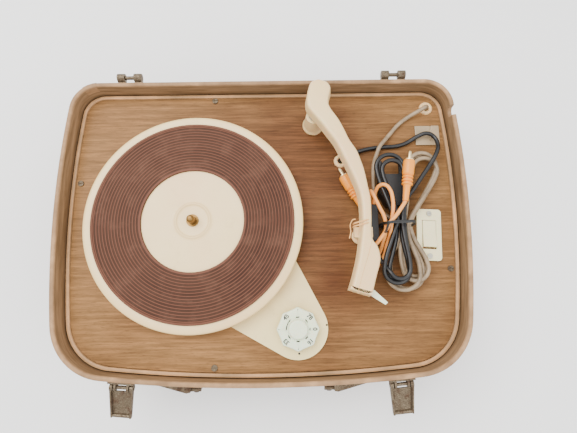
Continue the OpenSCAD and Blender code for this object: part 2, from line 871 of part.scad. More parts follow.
module platter_mat() {
    groove = 0.5;
    pitch = 3.25;
    grooves = floor((mat_r - mat_hole_r - 4) / pitch);
    color("sienna")
        on_board(spindle_p, platter_top_z)
            rotate_extrude($fn = 180)
                polygon(concat([[mat_hole_r, 0], [mat_r, 0], [mat_r, mat_t - 0.4],
                    [mat_r - 0.4, mat_t]],
                    [for (i = [0:grooves - 1], k = [0:3])
                        let (r = mat_r - 2.5 - i * pitch)
                        [r - (k < 2 ? 0 : 1.2) - (k == 1 || k == 2 ? (k == 1 ? 0.3 : -0.3) : 0),
                            mat_t - (k == 1 || k == 2 ? groove : 0)]],
                    [[mat_hole_r + 0.4, mat_t], [mat_hole_r, mat_t - 0.4]]));
}

module spindle() {
    low = bearing_low_z + 4 + 2 * ball_r;
    straight = spindle_rise - 3.5;
    top = mat_top_z + straight;
    color("goldenrod")
        on_board(spindle_p) {
            translate([0, 0, low])
                cylinder(r = shaft_r, h = mat_top_z - low);
            translate([0, 0, mat_top_z - EPS])
                cylinder(r = spindle_r, h = straight + EPS);
            translate([0, 0, top - EPS])
                rotate_extrude()
                    polygon(concat([[0, 0]], [for (i = [0:6]) let (a = i * 15)
                        [spindle_r * (0.35 + 0.65 * cos(a)), 3.5 * sin(a)]], [[0, 3.5]]));
        }
}

module centre_bush() {
    color("darkgoldenrod")
        on_board(spindle_p)
            union() {
                translate([0, 0, platter_top_z - 8])
                    ring(shaft_r + 1.5, shaft_r, 8);
                translate([0, 0, platter_top_z])
                    ring(5.6, shaft_r, 1.2);
            }
}

// ---- Speed knob ----

// Eight points with hollow flanks between them
module speed_knob() {
    flank = knob_r * 0.9;
    color("white")
        on_board(knob_p) {
            translate([0, 0, knob_low_z])
                linear_extrude(knob_h)
                    polygon([for (i = [0:15]) let (a = i * 22.5)
                        (i % 2 == 0 ? knob_r : flank) * [cos(a), sin(a)]]);
            translate([0, 0, knob_low_z + knob_h - EPS])
                cylinder(r = knob_cap_r, h = knob_cap_h);
            translate([0, 0, knob_low_z - 1])
                cylinder(r = 6, h = 1 + EPS);
        }
}

module knob_shaft() {
    color("silver")
        on_board(knob_p, -20)
            cylinder(r = knob_shaft_r, h = 20 + knob_low_z - 1);
}

module speed_cam() {
    color("ivory")
        on_board(knob_p, -16)
            difference() {
                union() {
                    cylinder(r = 12, h = 3);
                    linear_extrude(6)
                        polygon([for (i = [0:24]) let (a = i * 15)
                            (7 + 4 * i / 24) * [cos(a), sin(a)]]);
                }
                translate([0, 0, -CUT])
                    cylinder(r = knob_shaft_r, h = 10);
            }
}

// ---- Tonearm ----

module arm_post() {
    color("antiquewhite")
        on_board(pivot_p)
            difference() {
                union() {
                    cylinder(r1 = post_r + 1, r2 = post_r, h = 3);
                    translate([0, 0, 3 - EPS])
                        cylinder(r1 = post_r, r2 = post_r - 1.5, h = arm_low_z - 8);
                    translate([0, 0, -board_t - 8])
                        cylinder(r = post_stub_r, h = board_t + 8 + EPS);
                }
                translate([0, 0, -board_t - 9])
                    cylinder(r = arm_shaft_r + running, h = 60);
            }
}

module post_nut() {
    color("silver")
        on_board(pivot_p, -board_t - 4)
            difference() {
                cylinder(r = 9, h = 4, $fn = 6);
                translate([0, 0, -CUT])
                    cylinder(r = post_stub_r, h = 6);
            }
}

module arm_rest() {
    pad_low = arm_low_z - 6;
    color("antiquewhite")
        on_board(rest_p)
            union() {
                translate([0, 0, -board_t - 3])
                    cylinder(r = rest_stud_r, h = board_t + 3 + EPS);
                cylinder(r = 7, h = 2);
                translate([0, 0, 2 - EPS])
                    cylinder(r1 = 4.5, r2 = 3.5, h = pad_low - 2 + 2 * EPS);
                translate([-8.5, -4.5, pad_low])
                    cube([16, 9, arm_low_z - AIR - pad_low]);
            }
}

// Turns with the arm round the post; its fork holds the lift pin
module arm_yoke() {
    plate = 2;
    fork_front = -2.2;
    fork_w = 6.4;
    low_z = arm_low_z - 4;
    color("silver")
        on_board(pivot_p)
            rotate([0, 0, arm_turn])
                difference() {
                    union() {
                        translate([0, 0, -board_t - 12])
                            cylinder(r = arm_shaft_r, h = board_t + 12 + low_z + EPS);
                        translate([0, 0, arm_low_z - 5 + AIR])
                            cylinder(r = 5, h = 2);
                        translate([fork_left, fork_front, low_z])
                            cube([fork_right - fork_left, fork_w, plate]);
                        for (x = [fork_left, fork_right - plate])
                            translate([x, fork_front, low_z])
                                cube([plate, fork_w, lift_z - low_z + 3]);
                    }
                    lift_pin_space(running);
                }
}

module lift_pin_space(clearance) {
    translate([pin_left, 0, lift_z])
        rotate([0, 90, 0])
            cylinder(r = lift_pin_r + clearance, h = pin_right - pin_left);
}

module lift_pin() {
    color("silver")
        on_board(pivot_p)
            rotate([0, 0, arm_turn])
                lift_pin_space(0);
}

module tonearm() {
    inner = moved_loop(arm_outline, arm_wall);
    color("antiquewhite")
        difference() {
            on_board(pivot_p, arm_low_z)
                linear_extrude(arm_h)
                    polygon(arm_outline);
            on_board(pivot_p, arm_low_z - CUT)
                linear_extrude(arm_h - arm_wall + CUT)
                    polygon(inner);
            on_board(pivot_p)
                rotate([0, 0, arm_turn])
                    lift_pin_space(0);
        }
}

module counterweight() {
    color("gray")
        on_board(pivot_p + [3.5, 17], arm_top_z - arm_wall - 8)
            translate([-7, -6, 0])
                cube([14, 12, 8]);
}

module cartridge() {
    body_h = arm_top_z - arm_wall - stylus_axis_z;
    color("ivory")
        on_board(stylus_p)
            rotate([0, 0, head_turn])
                difference() {
                    union() {
                        translate([-4.2, 3, stylus_axis_z + 2.4])
                            cube([10.7, 12, body_h - 2.4]);
                        translate([-4, 3, stylus_axis_z - 2.4])
                            cube([8, 11, 5]);
                    }
                    translate([0, 30, stylus_axis_z])
                        rotate([90, 0, 0])
                            cylinder(r = 1 + running, h = 40);
                }
}

// Stylus holder that turns over: two tips and the tab that flips it
module stylus_lever() {
    color("white")
        on_board(stylus_p)
            rotate([0, 0, head_turn])
                translate([0, 0, stylus_axis_z]) {
                    translate([0, 14, 0])
                        rotate([90, 0, 0])
                            cylinder(r = 1, h = 14);
                    translate([0, 2.6, 0])
                        rotate([90, 0, 0])
                            cylinder(r = 1.8, h = 7);
                    for (s = [0, 180])
                        rotate([0, s, 0])
                            translate([0, -1, -stylus_drop])
                                cylinder(r1 = 0.2, r2 = 1, h = stylus_drop);
                    translate([0, 0, -0.8])
                        linear_extrude(1.6)
                            polygon([[-0.2, 0.5], [5.7, -1.3], [12.1, -6], [22.6, -14.4], [20.6, -16.4],
                                [10.1, -10.9], [1.6, -4.8]]);
                }
}

// ---- Switch, voltage plate and grommets ----

module switch_screw_places() {
    for (s = [-1, 1])
        on_board(switch_p)
            rotate([0, 0, switch_turn])
                translate([0, s * 19.8, 3])
                    children();
}

module switch_plate() {
    color("white")
        difference() {
            on_board(switch_p)
                rotate([0, 0, switch_turn])
                    difference() {
                        union() {
                            translate([-switch_w / 2, -switch_len / 2 + 3, 0])
                                cube([switch_w, switch_len - 6, 3]);
                            translate([-switch_w / 2 + 3, -switch_len / 2, 0])
                                cube([switch_w - 6, switch_len, 3]);
                            for (sx = [-1, 1], sy = [-1, 1])
                                translate([sx * (switch_w / 2 - 3), sy * (switch_len / 2 - 3), 0])
                                    cylinder(r = 3, h = 3);
                        }
                        translate([-switch_body_w / 2, -switch_body_len / 2, -CUT])
                            cube([switch_body_w, switch_body_len, 6]);
                    }
            switch_screw_places()
                translate([0, 0, -5])
                    cylinder(r = screw_r, h = 10);
        }
}

module switch_screws() {
    color("silver")
        switch_screw_places()
            slotted_screw(2.4, screw_r, 3 + board_t);
}

rocker_tip = 5;
rocker_axle_z = -4;
rocker_axle_r = 1;

module switch_body() {
    color("ivory")
        on_board(switch_p)
            rotate([0, 0, switch_turn])
                difference() {
                    translate([-switch_body_w / 2, -switch_body_len / 2, -18])
                        cube([switch_body_w, switch_body_len, 17.2]);
                    translate([1 - switch_body_w / 2, 1 - switch_body_len / 2, -8])
                        cube([switch_body_w - 2, switch_body_len - 2, 10]);
                    translate([-20, 0, rocker_axle_z])
                        rotate([0, 90, 0])
                            cylinder(r = rocker_axle_r + running, h = 40);
                }
}

// Rocker tipped towards the back; it turns about the axle low in its body
module rocker() {
    rocker_w = 12;
    rocker_len = 24.6;
    slope = 1.6;
    color("white")
        on_board(switch_p)
            rotate([0, 0, switch_turn])
                translate([-rocker_w / 2, 0, rocker_axle_z])
                    rotate([-rocker_tip, 0, 0])
                        translate([0, 0, -rocker_axle_z]) {
                            rotate([90, 0, 90])
                                linear_extrude(rocker_w)
                                    polygon([[-rocker_len / 2, 1.4], [rocker_len / 2, 1.4],
                                        [rocker_len / 2, 3 + slope], [0, 3.4],
                                        [-rocker_len / 2, 3 + slope]]);
                            translate([1.2, -3, -5.6])
                                cube([rocker_w - 2.4, 6, 7.1]);
                            translate([-0.4, 0, rocker_axle_z])
                                rotate([0, 90, 0])
                                    cylinder(r = rocker_axle_r, h = rocker_w + 0.8);
                        }
}

module voltage_plate() {
    color("whitesmoke")
        on_board(voltage_p)
            difference() {
                translate([-11.8, -10, 0])
                    cube([23.6, 20, 1.5]);
                translate([2.6, -6, 0.5])
                    cube([1.6, 17, 3]);
            }
}

module grommet_at(p, bore_r) {
    on_board(p)
        difference() {
            union() {
                cylinder(r1 = 6.6, r2 = 5.4, h = 2.2);
                translate([0, 0, -board_t - EPS])
                    cylinder(r = grommet_neck_r, h = board_t + 2 * EPS);
                translate([0, 0, -board_t - 2])
                    cylinder(r = grommet_flange_r, h = 2);
            }
            translate([0, 0, -board_t - 4])
                cylinder(r = bore_r, h = board_t + 10);
        }
}

module cable_grommets() {
    color("antiquewhite") {
        grommet_at(mains_hole_p, mains_d / 2 + 0.6);
        grommet_at(signal_hole_p, signal_d / 2 + 0.6);
    }
}

// ---- Cords, left at the places chosen for them ----

plug_h = 12.6;
tie_t = 1.2;

module board_route(p, d) {
    translate([0, case_y, board_z])
        tube(p, d);
}

module mains_lead() {
    color("gray")
        board_route(mains_route, mains_d);
}

module signal_lead() {
    color("black")
        board_route(signal_route, signal_d);
}

module phono_lead_a() {
    color("khaki")
        board_route(lead_a_route, lead_d);
}

module phono_lead_b() {
    color("khaki")
        board_route(lead_b_route, lead_d);
}

// Flat bundle with round ends and a waist where the tie holds it
module hank(top_p, top_r, waist_p, waist_r, low_p, low_r, h, low_rise) {
    for (run = [[top_p, top_r, 0, h], [low_p, low_r, low_rise, h - 0.2 * low_rise]])
        translate([0, 0, run[2]])
            linear_extrude(run[3])
                hull() {
                    translate(waist_p)
                        circle(r = waist_r, $fn = 24);
                    translate(run[0])
                        circle(r = run[1], $fn = 24);
                }
}

module mains_hank() {
    color("gray")
        on_board([0, 0], 3.4)
            hank([154, 57], 11.2, [130.4, -2.5], 4.1, [140, -41], 12, 7.6, 2.9);
}

module signal_hank() {
    color("black")
        on_board([0, 0], plug_h + 1)
            hank([119.5, 50], 15, [124.2, -2.5], 5.6, [121, -44], 11, 7.8, 0);
}

// Flat two-pin plug under the signal cord's hank, its tail towards the tie
module mains_plug() {
    body_len = 30;
    shoulder = 12;
    half_w = 12;
    color("black")
        on_board([121.8, 16], 0.2) {
            linear_extrude(plug_h)
                polygon([[-6, 0], [6, 0], [half_w, shoulder], [half_w, body_len], [-half_w, body_len],
                    [-half_w, shoulder]]);
            for (s = [-1, 1])
                translate([s * 9.5, body_len - EPS, plug_h / 2])
                    rotate([-90, 0, 0])
                        cylinder(r = 2, h = 14);
        }
}

module inline_socket() {
    color("black")
        on_board([101.5, 0], 5.2)
            translate([-4.5, -17, 0])
                cube([9, 34, 9]);
}

// Phono plug with its tail at the origin and its tip along +Y
module phono_plug() {
    rotate([-90, 0, 0]) {
        cylinder(r1 = 2.4, r2 = 3.4, h = 15);
        translate([0, 0, 15 - EPS])
            cylinder(r = 4.6, h = 8);
        translate([0, 0, 23 - 2 * EPS])
            cylinder(r = 5.2, h = 15);
        translate([0, 0, 38 - 3 * EPS])
            cylinder(r = 1.6, h = 9);
    }
}

module phono_plugs() {
    color("gold") {
        on_board([127.9, 16.5], 27)
            rotate([0, 0, -9])
                phono_plug();
        on_board([94.5, 12.5], 7)
            rotate([0, 0, 27.5])
                phono_plug();
    }
}

module cable_tie() {
    tie_w = 31;
    tie_h = 31;
    color("black")
        on_board([122, -1], tie_h / 2 + 0.2)
            rotate([90, 0, 0])
                linear_extrude(3)
                    difference() {
                        square([tie_w, tie_h], center = true);
                        square([tie_w - 2 * tie_t, tie_h - 2 * tie_t], center = true);
                    }
}

case_wall();
case_bottom();
board_cleats();
edge_strip();
motor_board();
board_screws();
rubber_feet();
hinge_leaves();
latch_plates();
pivot_pins();
handle_brackets();
deck_plate();
motor_screws();
rubber_bushes();
bearing_tube();
thrust_ball();
stator_stack();
stator_coil();
motor_bridges();
arm_post();
post_nut();
arm_rest();
switch_plate();
switch_screws();
switch_body();
voltage_plate();
cable_grommets();
platter();
platter_mat();
spindle();
centre_bush();
idler_arm();
idler_wheel();
idler_tyre();
rotor_core();
rotor_shaft();
stepped_pulley();
speed_knob();
knob_shaft();
speed_cam();
rocker();
arm_yoke();
tonearm();
lift_pin();
counterweight();
cartridge();
stylus_lever();
latch_left();
latch_right();
handle();
mains_lead();
mains_hank();
mains_plug();
signal_lead();
signal_hank();
inline_socket();
phono_lead_a();
phono_lead_b();
phono_plugs();
cable_tie();
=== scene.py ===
"""Looks of a portable record player's base: leatherette case, veneered deck, tonearm and folded cords."""

import math

import bmesh
import bpy
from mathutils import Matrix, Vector


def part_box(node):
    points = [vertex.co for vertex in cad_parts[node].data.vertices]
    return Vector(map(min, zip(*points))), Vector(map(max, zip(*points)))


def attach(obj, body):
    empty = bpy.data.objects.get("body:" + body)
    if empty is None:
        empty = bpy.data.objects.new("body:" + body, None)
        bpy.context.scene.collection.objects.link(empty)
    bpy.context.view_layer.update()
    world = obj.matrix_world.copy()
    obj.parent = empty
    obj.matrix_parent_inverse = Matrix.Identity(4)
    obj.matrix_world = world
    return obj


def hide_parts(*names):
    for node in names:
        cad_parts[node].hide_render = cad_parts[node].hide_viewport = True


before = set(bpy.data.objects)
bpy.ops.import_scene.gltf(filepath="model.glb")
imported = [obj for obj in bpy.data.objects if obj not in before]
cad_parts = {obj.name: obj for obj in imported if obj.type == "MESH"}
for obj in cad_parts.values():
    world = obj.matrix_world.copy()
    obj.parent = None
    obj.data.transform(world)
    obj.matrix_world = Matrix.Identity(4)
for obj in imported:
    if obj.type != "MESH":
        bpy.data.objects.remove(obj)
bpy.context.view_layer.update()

MM = 0.001


# ---- Places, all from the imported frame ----

def middle(node):
    low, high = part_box(node)
    return (low + high) / 2


WALL_LOW, WALL_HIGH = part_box("case_wall")
CASE_Y = (WALL_LOW.y + WALL_HIGH.y) / 2
BOARD_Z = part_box("motor_board")[1].z
RIM_Z = WALL_HIGH.z
DROP = (RIM_Z - BOARD_Z) / MM
CASE_W = (WALL_HIGH.x - WALL_LOW.x) / MM
CASE_D = (WALL_HIGH.y - WALL_LOW.y) / MM


def at(x, y, z):
    """A point in millimetres from the case's own middle and the board's top, in the row frame's metres."""
    return Vector((x * MM, y * MM + CASE_Y, z * MM + BOARD_Z))


def in_case(point):
    """The plan place of a row-frame point, in millimetres from the case's own middle."""
    return Vector((point.x / MM, (point.y - CASE_Y) / MM))


SPINDLE = in_case(middle("spindle"))
KNOB = in_case(middle("knob_shaft"))
PIVOT = in_case(middle("arm_post"))


# ---- Camera ----

camera = bpy.data.objects.new("camera", bpy.data.cameras.new("camera"))
bpy.context.scene.collection.objects.link(camera)
camera.data.sensor_width = 36
camera.data.lens = 24.957
camera.data.clip_start = 0.01
camera.location = (0.02429, -0.05595, 0.4505)
camera.rotation_euler = [math.radians(a) for a in (11.109, 0.118, -0.716)]
bpy.context.scene.camera = camera


# ---- Small vector and mesh helpers ----

def new_object(name, data, body, replaces=()):
    obj = bpy.data.objects.new(name, data)
    bpy.context.scene.collection.objects.link(obj)
    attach(obj, body)
    if replaces:
        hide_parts(*replaces)
    return obj


def mesh_object(name, verts, faces, body, materials, replaces=(), sharp=35, face_materials=None):
    """A mesh piece in the row frame, smooth but for edges sharper than the angle given."""
    mesh = bpy.data.meshes.new(name)
    mesh.from_pydata([tuple(v) for v in verts], [], faces)
    for material in materials:
        mesh.materials.append(material)
    if face_materials:
        mesh.polygons.foreach_set("material_index", face_materials)
    finish_mesh(mesh, sharp)
    return new_object(name, mesh, body, replaces)


def finish_mesh(mesh, sharp=35):
    """Merges doubled points, points the faces outwards and marks the sharp edges."""
    bm = bmesh.new()
    bm.from_mesh(mesh)
    bmesh.ops.remove_doubles(bm, verts=bm.verts, dist=1e-6)
    bmesh.ops.recalc_face_normals(bm, faces=bm.faces)
    bm.to_mesh(mesh)
    bm.free()
    mesh.polygons.foreach_set("use_smooth", [True] * len(mesh.polygons))
    mesh.set_sharp_from_angle(angle=math.radians(sharp))


def bevel(obj, width, segments=2, angle=35):
    """Rounds an object's sharp edges by a width in millimetres."""
    weld = obj.modifiers.new("weld", "WELD")
    weld.merge_threshold = 1e-5
    modifier = obj.modifiers.new("bevel", "BEVEL")
    modifier.width = width * MM
    modifier.segments = segments
    modifier.limit_method = "ANGLE"
    modifier.angle_limit = math.radians(angle)
    modifier.use_clamp_overlap = True
    modifier.harden_normals = False
    return obj


def catmull(points, steps, closed=False):
    """A smooth line through the points, each stretch cut into steps."""
    count = len(points)
    line = []
    for i in range(count if closed else count - 1):
        if closed:
            p0, p1, p2, p3 = (points[(i + k) % count] for k in (-1, 0, 1, 2))
        else:
            p0, p1, p2, p3 = (points[min(max(i + k, 0), count - 1)] for k in (-1, 0, 1, 2))
        for s in range(steps):
            t = s / steps
            line.append(0.5 * (2 * p1 + (p2 - p0) * t + (2 * p0 - 5 * p1 + 4 * p2 - p3) * t * t
                               + (3 * p1 - p0 - 3 * p2 + p3) * t ** 3))
    if not closed:
        line.append(points[-1].copy())
    return line


def revolve(profile, centre, segments=96):
    """Points and faces of a profile of (radius, height above the board) turned about a place on the board."""
    verts = []
    faces = []
    rows = len(profile)
    for s in range(segments):
        a = 2 * math.pi * s / segments
        for r, z in profile:
            verts.append(at(centre[0] + r * math.cos(a), centre[1] + r * math.sin(a), z))
    for s in range(segments):
        t = (s + 1) % segments
        for k in range(rows - 1):
            faces.append((s * rows + k, t * rows + k, t * rows + k + 1, s * rows + k + 1))
    return verts, faces


def revolved(name, profile, centre, body, material, replaces=(), segments=96, sharp=35):
    verts, faces = revolve(profile, centre, segments)
    return mesh_object(name, verts, faces, body, [material], replaces, sharp)


def stack(rings, close_low=True, close_high=True):
    """Points and faces of closed rings joined one above the other."""
    verts = [p for ring in rings for p in ring]
    n = len(rings[0])
    faces = []
    for k in range(len(rings) - 1):
        for i in range(n):
            j = (i + 1) % n
            faces.append((k * n + i, k * n + j, (k + 1) * n + j, (k + 1) * n + i))
    if close_low:
        faces.append(tuple(range(n))[::-1])
    if close_high:
        faces.append(tuple((len(rings) - 1) * n + i for i in range(n)))
    return verts, faces


def moved_in(outline, distance):
    """A closed 2D outline, run against the clock, moved inwards by a distance."""
    n = len(outline)
    moved = []
    for i in range(n):
        t = (outline[(i + 1) % n] - outline[i - 1]).normalized()
        moved.append(outline[i] + Vector((-t.y, t.x)) * distance)
    return moved


def prism(name, outline, levels, body, material, replaces=(), sharp=35):
    """A solid whose outline is moved in by the first of each (inset, height) pair at the second."""
    rings = [[at(p.x, p.y, z) for p in moved_in(outline, inset)] for inset, z in levels]
    verts, faces = stack(rings)
    return mesh_object(name, verts, faces, body, [material], replaces, sharp)


def tube_mesh(path, radius, sides=10, scale=None):
    """Points and faces of a round tube along row-frame points; scale gives a factor at each point."""
    verts = []
    faces = []
    normal = Vector((0.13, 0.31, 0.94))
    n = len(path)
    for i, p in enumerate(path):
        t = (path[min(i + 1, n - 1)] - path[max(i - 1, 0)]).normalized()
        normal = (normal - t * normal.dot(t)).normalized()
        side = t.cross(normal)
        r = radius * (scale[i] if scale else 1)
        for k in range(sides):
            a = 2 * math.pi * k / sides
            verts.append(p + r * (math.cos(a) * normal + math.sin(a) * side))
    for i in range(n - 1):
        for k in range(sides):
            j = (k + 1) % sides
            faces.append((i * sides + k, i * sides + j, (i + 1) * sides + j, (i + 1) * sides + k))
    faces.append(tuple(range(sides))[::-1])
    faces.append(tuple((n - 1) * sides + k for k in range(sides)))
    return verts, faces


# ---- Materials ----

STUDIO = 2.6


def seen(red, green, blue):
    """Surface colour that the studio's light and the default view show as the 8-bit colour given."""
    shares = [max(0.004, 0.23 * (v / 255) ** 1.33 / (1 - v / 255) ** 1.25 / STUDIO - 0.004)
              for v in (red, green, blue)]
    most = max(1.0, max(shares) / 0.86)
    return (*(v / most for v in shares), 1.0)


class Shade:
    """A material being built: short calls that add nodes to its tree."""

    def __init__(self, name, **values):
        self.material = bpy.data.materials.new(name)
        self.material.use_nodes = True
        self.tree = self.material.node_tree
        self.shader = self.tree.nodes["Principled BSDF"]
        for socket, value in values.items():
            self.shader.inputs[socket.replace("_", " ")].default_value = value
        self.place = self.add("ShaderNodeTexCoord").outputs["Object"]

    def add(self, kind, **settings):
        node = self.tree.nodes.new(kind)
        for key, value in settings.items():
            setattr(node, key, value)
        return node

    def join(self, source, target):
        if isinstance(source, (int, float, tuple)):
            target.default_value = source
        else:
            self.tree.links.new(source, target)

    def scaled(self, x, y, z, turn=0.0):
        node = self.add("ShaderNodeMapping")
        self.join(self.place, node.inputs["Vector"])
        node.inputs["Scale"].default_value = (x, y, z)
        node.inputs["Rotation"].default_value = (0, 0, turn)
        return node.outputs["Vector"]

    def noise(self, scale, detail=4.0, rough=0.5, vector=None, twist=0.0):
        node = self.add("ShaderNodeTexNoise")
        self.join(vector or self.place, node.inputs["Vector"])
        node.inputs["Scale"].default_value = scale
        node.inputs["Detail"].default_value = detail
        node.inputs["Roughness"].default_value = rough
        node.inputs["Distortion"].default_value = twist
        return node.outputs["Fac"]

    def cells(self, scale, feature="F1", vector=None, output="Distance"):
        node = self.add("ShaderNodeTexVoronoi", feature=feature)
        self.join(vector or self.place, node.inputs["Vector"])
        node.inputs["Scale"].default_value = scale
        return node.outputs[output]

    def ramp(self, source, *stops):
        node = self.add("ShaderNodeValToRGB")
        self.join(source, node.inputs["Fac"])
        elements = node.color_ramp.elements
        while len(elements) < len(stops):
            elements.new(0.5)
        for element, (position, colour) in zip(elements, stops):
            element.position = position
            element.color = colour if isinstance(colour, tuple) else (colour, colour, colour, 1)
        return node.outputs["Color"]

    def maths(self, operation, a, b=0.0, clamp=False):
        node = self.add("ShaderNodeMath", operation=operation, use_clamp=clamp)
        self.join(a, node.inputs[0])
        self.join(b, node.inputs[1])
        return node.outputs[0]

    def span(self, source, low, high, to_low=0.0, to_high=1.0):
        node = self.add("ShaderNodeMapRange")
        self.join(source, node.inputs["Value"])
        for socket, value in zip(("From Min", "From Max", "To Min", "To Max"), (low, high, to_low, to_high)):
            node.inputs[socket].default_value = value
        return node.outputs["Result"]

    def mix(self, factor, a, b, mode="MIX"):
        node = self.add("ShaderNodeMix", data_type="RGBA", blend_type=mode)
        self.join(factor, node.inputs[0])
        self.join(a, node.inputs[6])
        self.join(b, node.inputs[7])
        return node.outputs[2]

    def axis(self, name):
        node = self.add("ShaderNodeSeparateXYZ")
        self.join(self.place, node.inputs[0])
        return node.outputs[name]

    def radius_from(self, centre):
        """Distance in the plan from a row-frame point."""
        shift = self.add("ShaderNodeVectorMath", operation="SUBTRACT")
        self.join(self.place, shift.inputs[0])
        shift.inputs[1].default_value = centre
        flat = self.add("ShaderNodeVectorMath", operation="MULTIPLY")
        self.join(shift.outputs[0], flat.inputs[0])
        flat.inputs[1].default_value = (1, 1, 0)
        length = self.add("ShaderNodeVectorMath", operation="LENGTH")
        self.join(flat.outputs[0], length.inputs[0])
        return length.outputs["Value"]

    def bump(self, height, depth, strength=1.0, under=None):
        node = self.add("ShaderNodeBump")
        node.inputs["Strength"].default_value = strength
        node.inputs["Distance"].default_value = depth
        self.join(height, node.inputs["Height"])
        if under:
            self.join(under, node.inputs["Normal"])
        return node.outputs["Normal"]

    def done(self, colour=None, roughness=None, normal=None, metallic=None):
        for source, socket in ((colour, "Base Color"), (roughness, "Roughness"), (normal, "Normal"),
                               (metallic, "Metallic")):
            if source is not None:
                self.join(source, self.shader.inputs[socket])
        return self.material


def leatherette():
    s = Shade("leatherette", Specular_IOR_Level=0.15)
    grain = s.cells(900, "SMOOTH_F1")
    pores = s.noise(2400, 2)
    patches = s.noise(9, 5, 0.6)
    spots = s.noise(55, 6, 0.7)
    base = s.ramp(patches, (0.3, seen(172, 146, 112)), (0.55, seen(190, 164, 130)), (0.75, seen(204, 180, 148)))
    dirt = s.mix(s.span(spots, 0.52, 0.75, 0, 0.4), base, seen(146, 116, 82))
    crevices = s.mix(s.span(grain, 0.15, 0.55, 0.3, 0), dirt, seen(128, 98, 68))
    # painted shade: the covering darkens towards the floor, from 22 mm down to 6 mm above it
    low = s.mix(s.span(s.axis("Z"), 0.006, 0.022, 0.45, 0), crevices, seen(120, 92, 66))
    normal = s.bump(grain, 0.00018, 0.8, s.bump(pores, 0.00005, 0.5))
    return s.done(low, s.span(spots, 0.3, 0.7, 0.48, 0.66), normal)


def rim_paint():
    s = Shade("rim_edge", Specular_IOR_Level=0.2)
    wear = s.noise(38, 6, 0.65)
    long = s.noise(60, 3, 0.5, s.scaled(1, 1, 6))
    base = s.ramp(wear, (0.3, seen(174, 150, 118)), (0.52, seen(192, 170, 138)), (0.74, seen(208, 190, 162)))
    stained = s.mix(s.span(long, 0.56, 0.72, 0, 0.55), base, seen(164, 136, 102))
    normal = s.bump(s.cells(1100, "SMOOTH_F1"), 0.00008, 0.6, s.bump(wear, 0.0003, 0.4))
    return s.done(stained, 0.55, normal)


def wall_lining():
    s = Shade("wall_lining", Specular_IOR_Level=0.12)
    weave = s.noise(900, 2, 0.5, s.scaled(1, 1, 3))
    streaks = s.noise(30, 5, 0.6, s.scaled(1, 1, 9))
    base = s.ramp(streaks, (0.3, seen(164, 142, 110)), (0.55, seen(184, 164, 134)), (0.8, seen(200, 182, 154)))
    # painted shade: the lining darkens over its lowest 7 mm, in the corner where the wall meets the board
    low = s.mix(s.span(s.axis("Z"), BOARD_Z, BOARD_Z + 7 * MM, 0.55, 0), base, seen(92, 64, 38))
    return s.done(low, 0.6, s.bump(weave, 0.00012, 0.7))


def strip_plastic():
    s = Shade("edge_strip_plastic", Specular_IOR_Level=0.2)
    stain = s.noise(26, 5, 0.65)
    base = s.ramp(stain, (0.3, seen(186, 166, 134)), (0.55, seen(206, 186, 154)), (0.75, seen(218, 200, 170)))
    return s.done(base, 0.48, s.bump(s.noise(500, 3), 0.00006, 0.5))


def veneer():
    """Varnished veneer, its grain along X, with random darker patches: pale at the board's edges, redder and darker at
    its middle between the platter and the arm, which is painted shade, and with a painted shadow beside the arm's
    head.
    """
    s = Shade("veneer", Specular_IOR_Level=0.15)
    streaks = s.noise(9, 8, 0.7, s.scaled(2.4, 46, 2.4), 0.3)
    fine = s.noise(90, 6, 0.75, s.scaled(1.2, 26, 1.2))
    vessels = s.noise(170, 3, 0.6, s.scaled(0.8, 9, 0.8))
    patches = s.noise(6.5, 4, 0.55, s.scaled(1, 1.7, 1))
    centre = s.radius_from(at(42, 14, 0))
    pale = s.ramp(streaks, (0.3, seen(156, 122, 74)), (0.5, seen(180, 149, 100)), (0.7, seen(196, 168, 120)))
    dark = s.ramp(streaks, (0.3, seen(118, 76, 42)), (0.5, seen(146, 102, 60)), (0.72, seen(170, 126, 82)))
    # painted shade: the board darkens about a point between the platter and the arm; the patches added to it are the
    # wood's own tone
    middle_shade_share = s.span(centre, 0.035, 0.15, 0.95, 0)
    share = s.maths("ADD", middle_shade_share, s.span(patches, 0.4, 0.66, -0.25, 0.45), True)
    base = s.mix(share, pale, dark)
    # painted shadow: a dark red-brown patch on the board beside the arm's head
    arm_head_shadow = s.mix(s.span(s.radius_from(at(70, -54, 0)), 0.006, 0.03, 0.55, 0), base, seen(120, 66, 34))
    lines = s.mix(s.span(fine, 0.54, 0.74, 0, 0.5), arm_head_shadow, seen(108, 72, 38))
    pores = s.mix(s.span(vessels, 0.58, 0.72, 0, 0.55), lines, seen(84, 54, 28))
    normal = s.bump(vessels, 0.00004, 0.6, s.bump(streaks, 0.0001, 0.35))
    return s.done(pores, s.span(patches, 0.3, 0.7, 0.4, 0.54), normal)


def raw_wood(name, dark, light):
    s = Shade(name, Specular_IOR_Level=0.2)
    streaks = s.noise(14, 7, 0.65, s.scaled(1.5, 18, 18))
    base = s.ramp(streaks, (0.3, dark), (0.7, light))
    return s.done(base, 0.75, s.bump(streaks, 0.0003, 0.5))


def cream(name, dark, mid, light, rough=0.34, wax=0.0, speck=0.3):
    """Aged cream enamel or plastic: slow yellowing, faint specks and a soft gloss."""
    s = Shade(name, Specular_IOR_Level=0.5, Coat_Weight=0.2, Coat_Roughness=0.2)
    if wax:
        s.shader.inputs["Subsurface Weight"].default_value = wax
        s.shader.inputs["Subsurface Scale"].default_value = 0.004
    yellow = s.noise(11, 4, 0.55)
    specks = s.noise(420, 4, 0.75)
    rubs = s.noise(70, 6, 0.7)
    base = s.ramp(yellow, (0.32, dark), (0.52, mid), (0.72, light))
    rubbed = s.mix(s.span(rubs, 0.58, 0.75, 0, 0.2), base, seen(196, 174, 134))
    dotted = s.mix(s.span(specks, 0.66, 0.72, 0, speck), rubbed, seen(120, 92, 58))
    normal = s.bump(s.noise(240, 3, 0.6), 0.00005, 0.35)
    return s.done(dotted, s.span(rubs, 0.3, 0.75, rough - 0.05, rough + 0.12), normal)


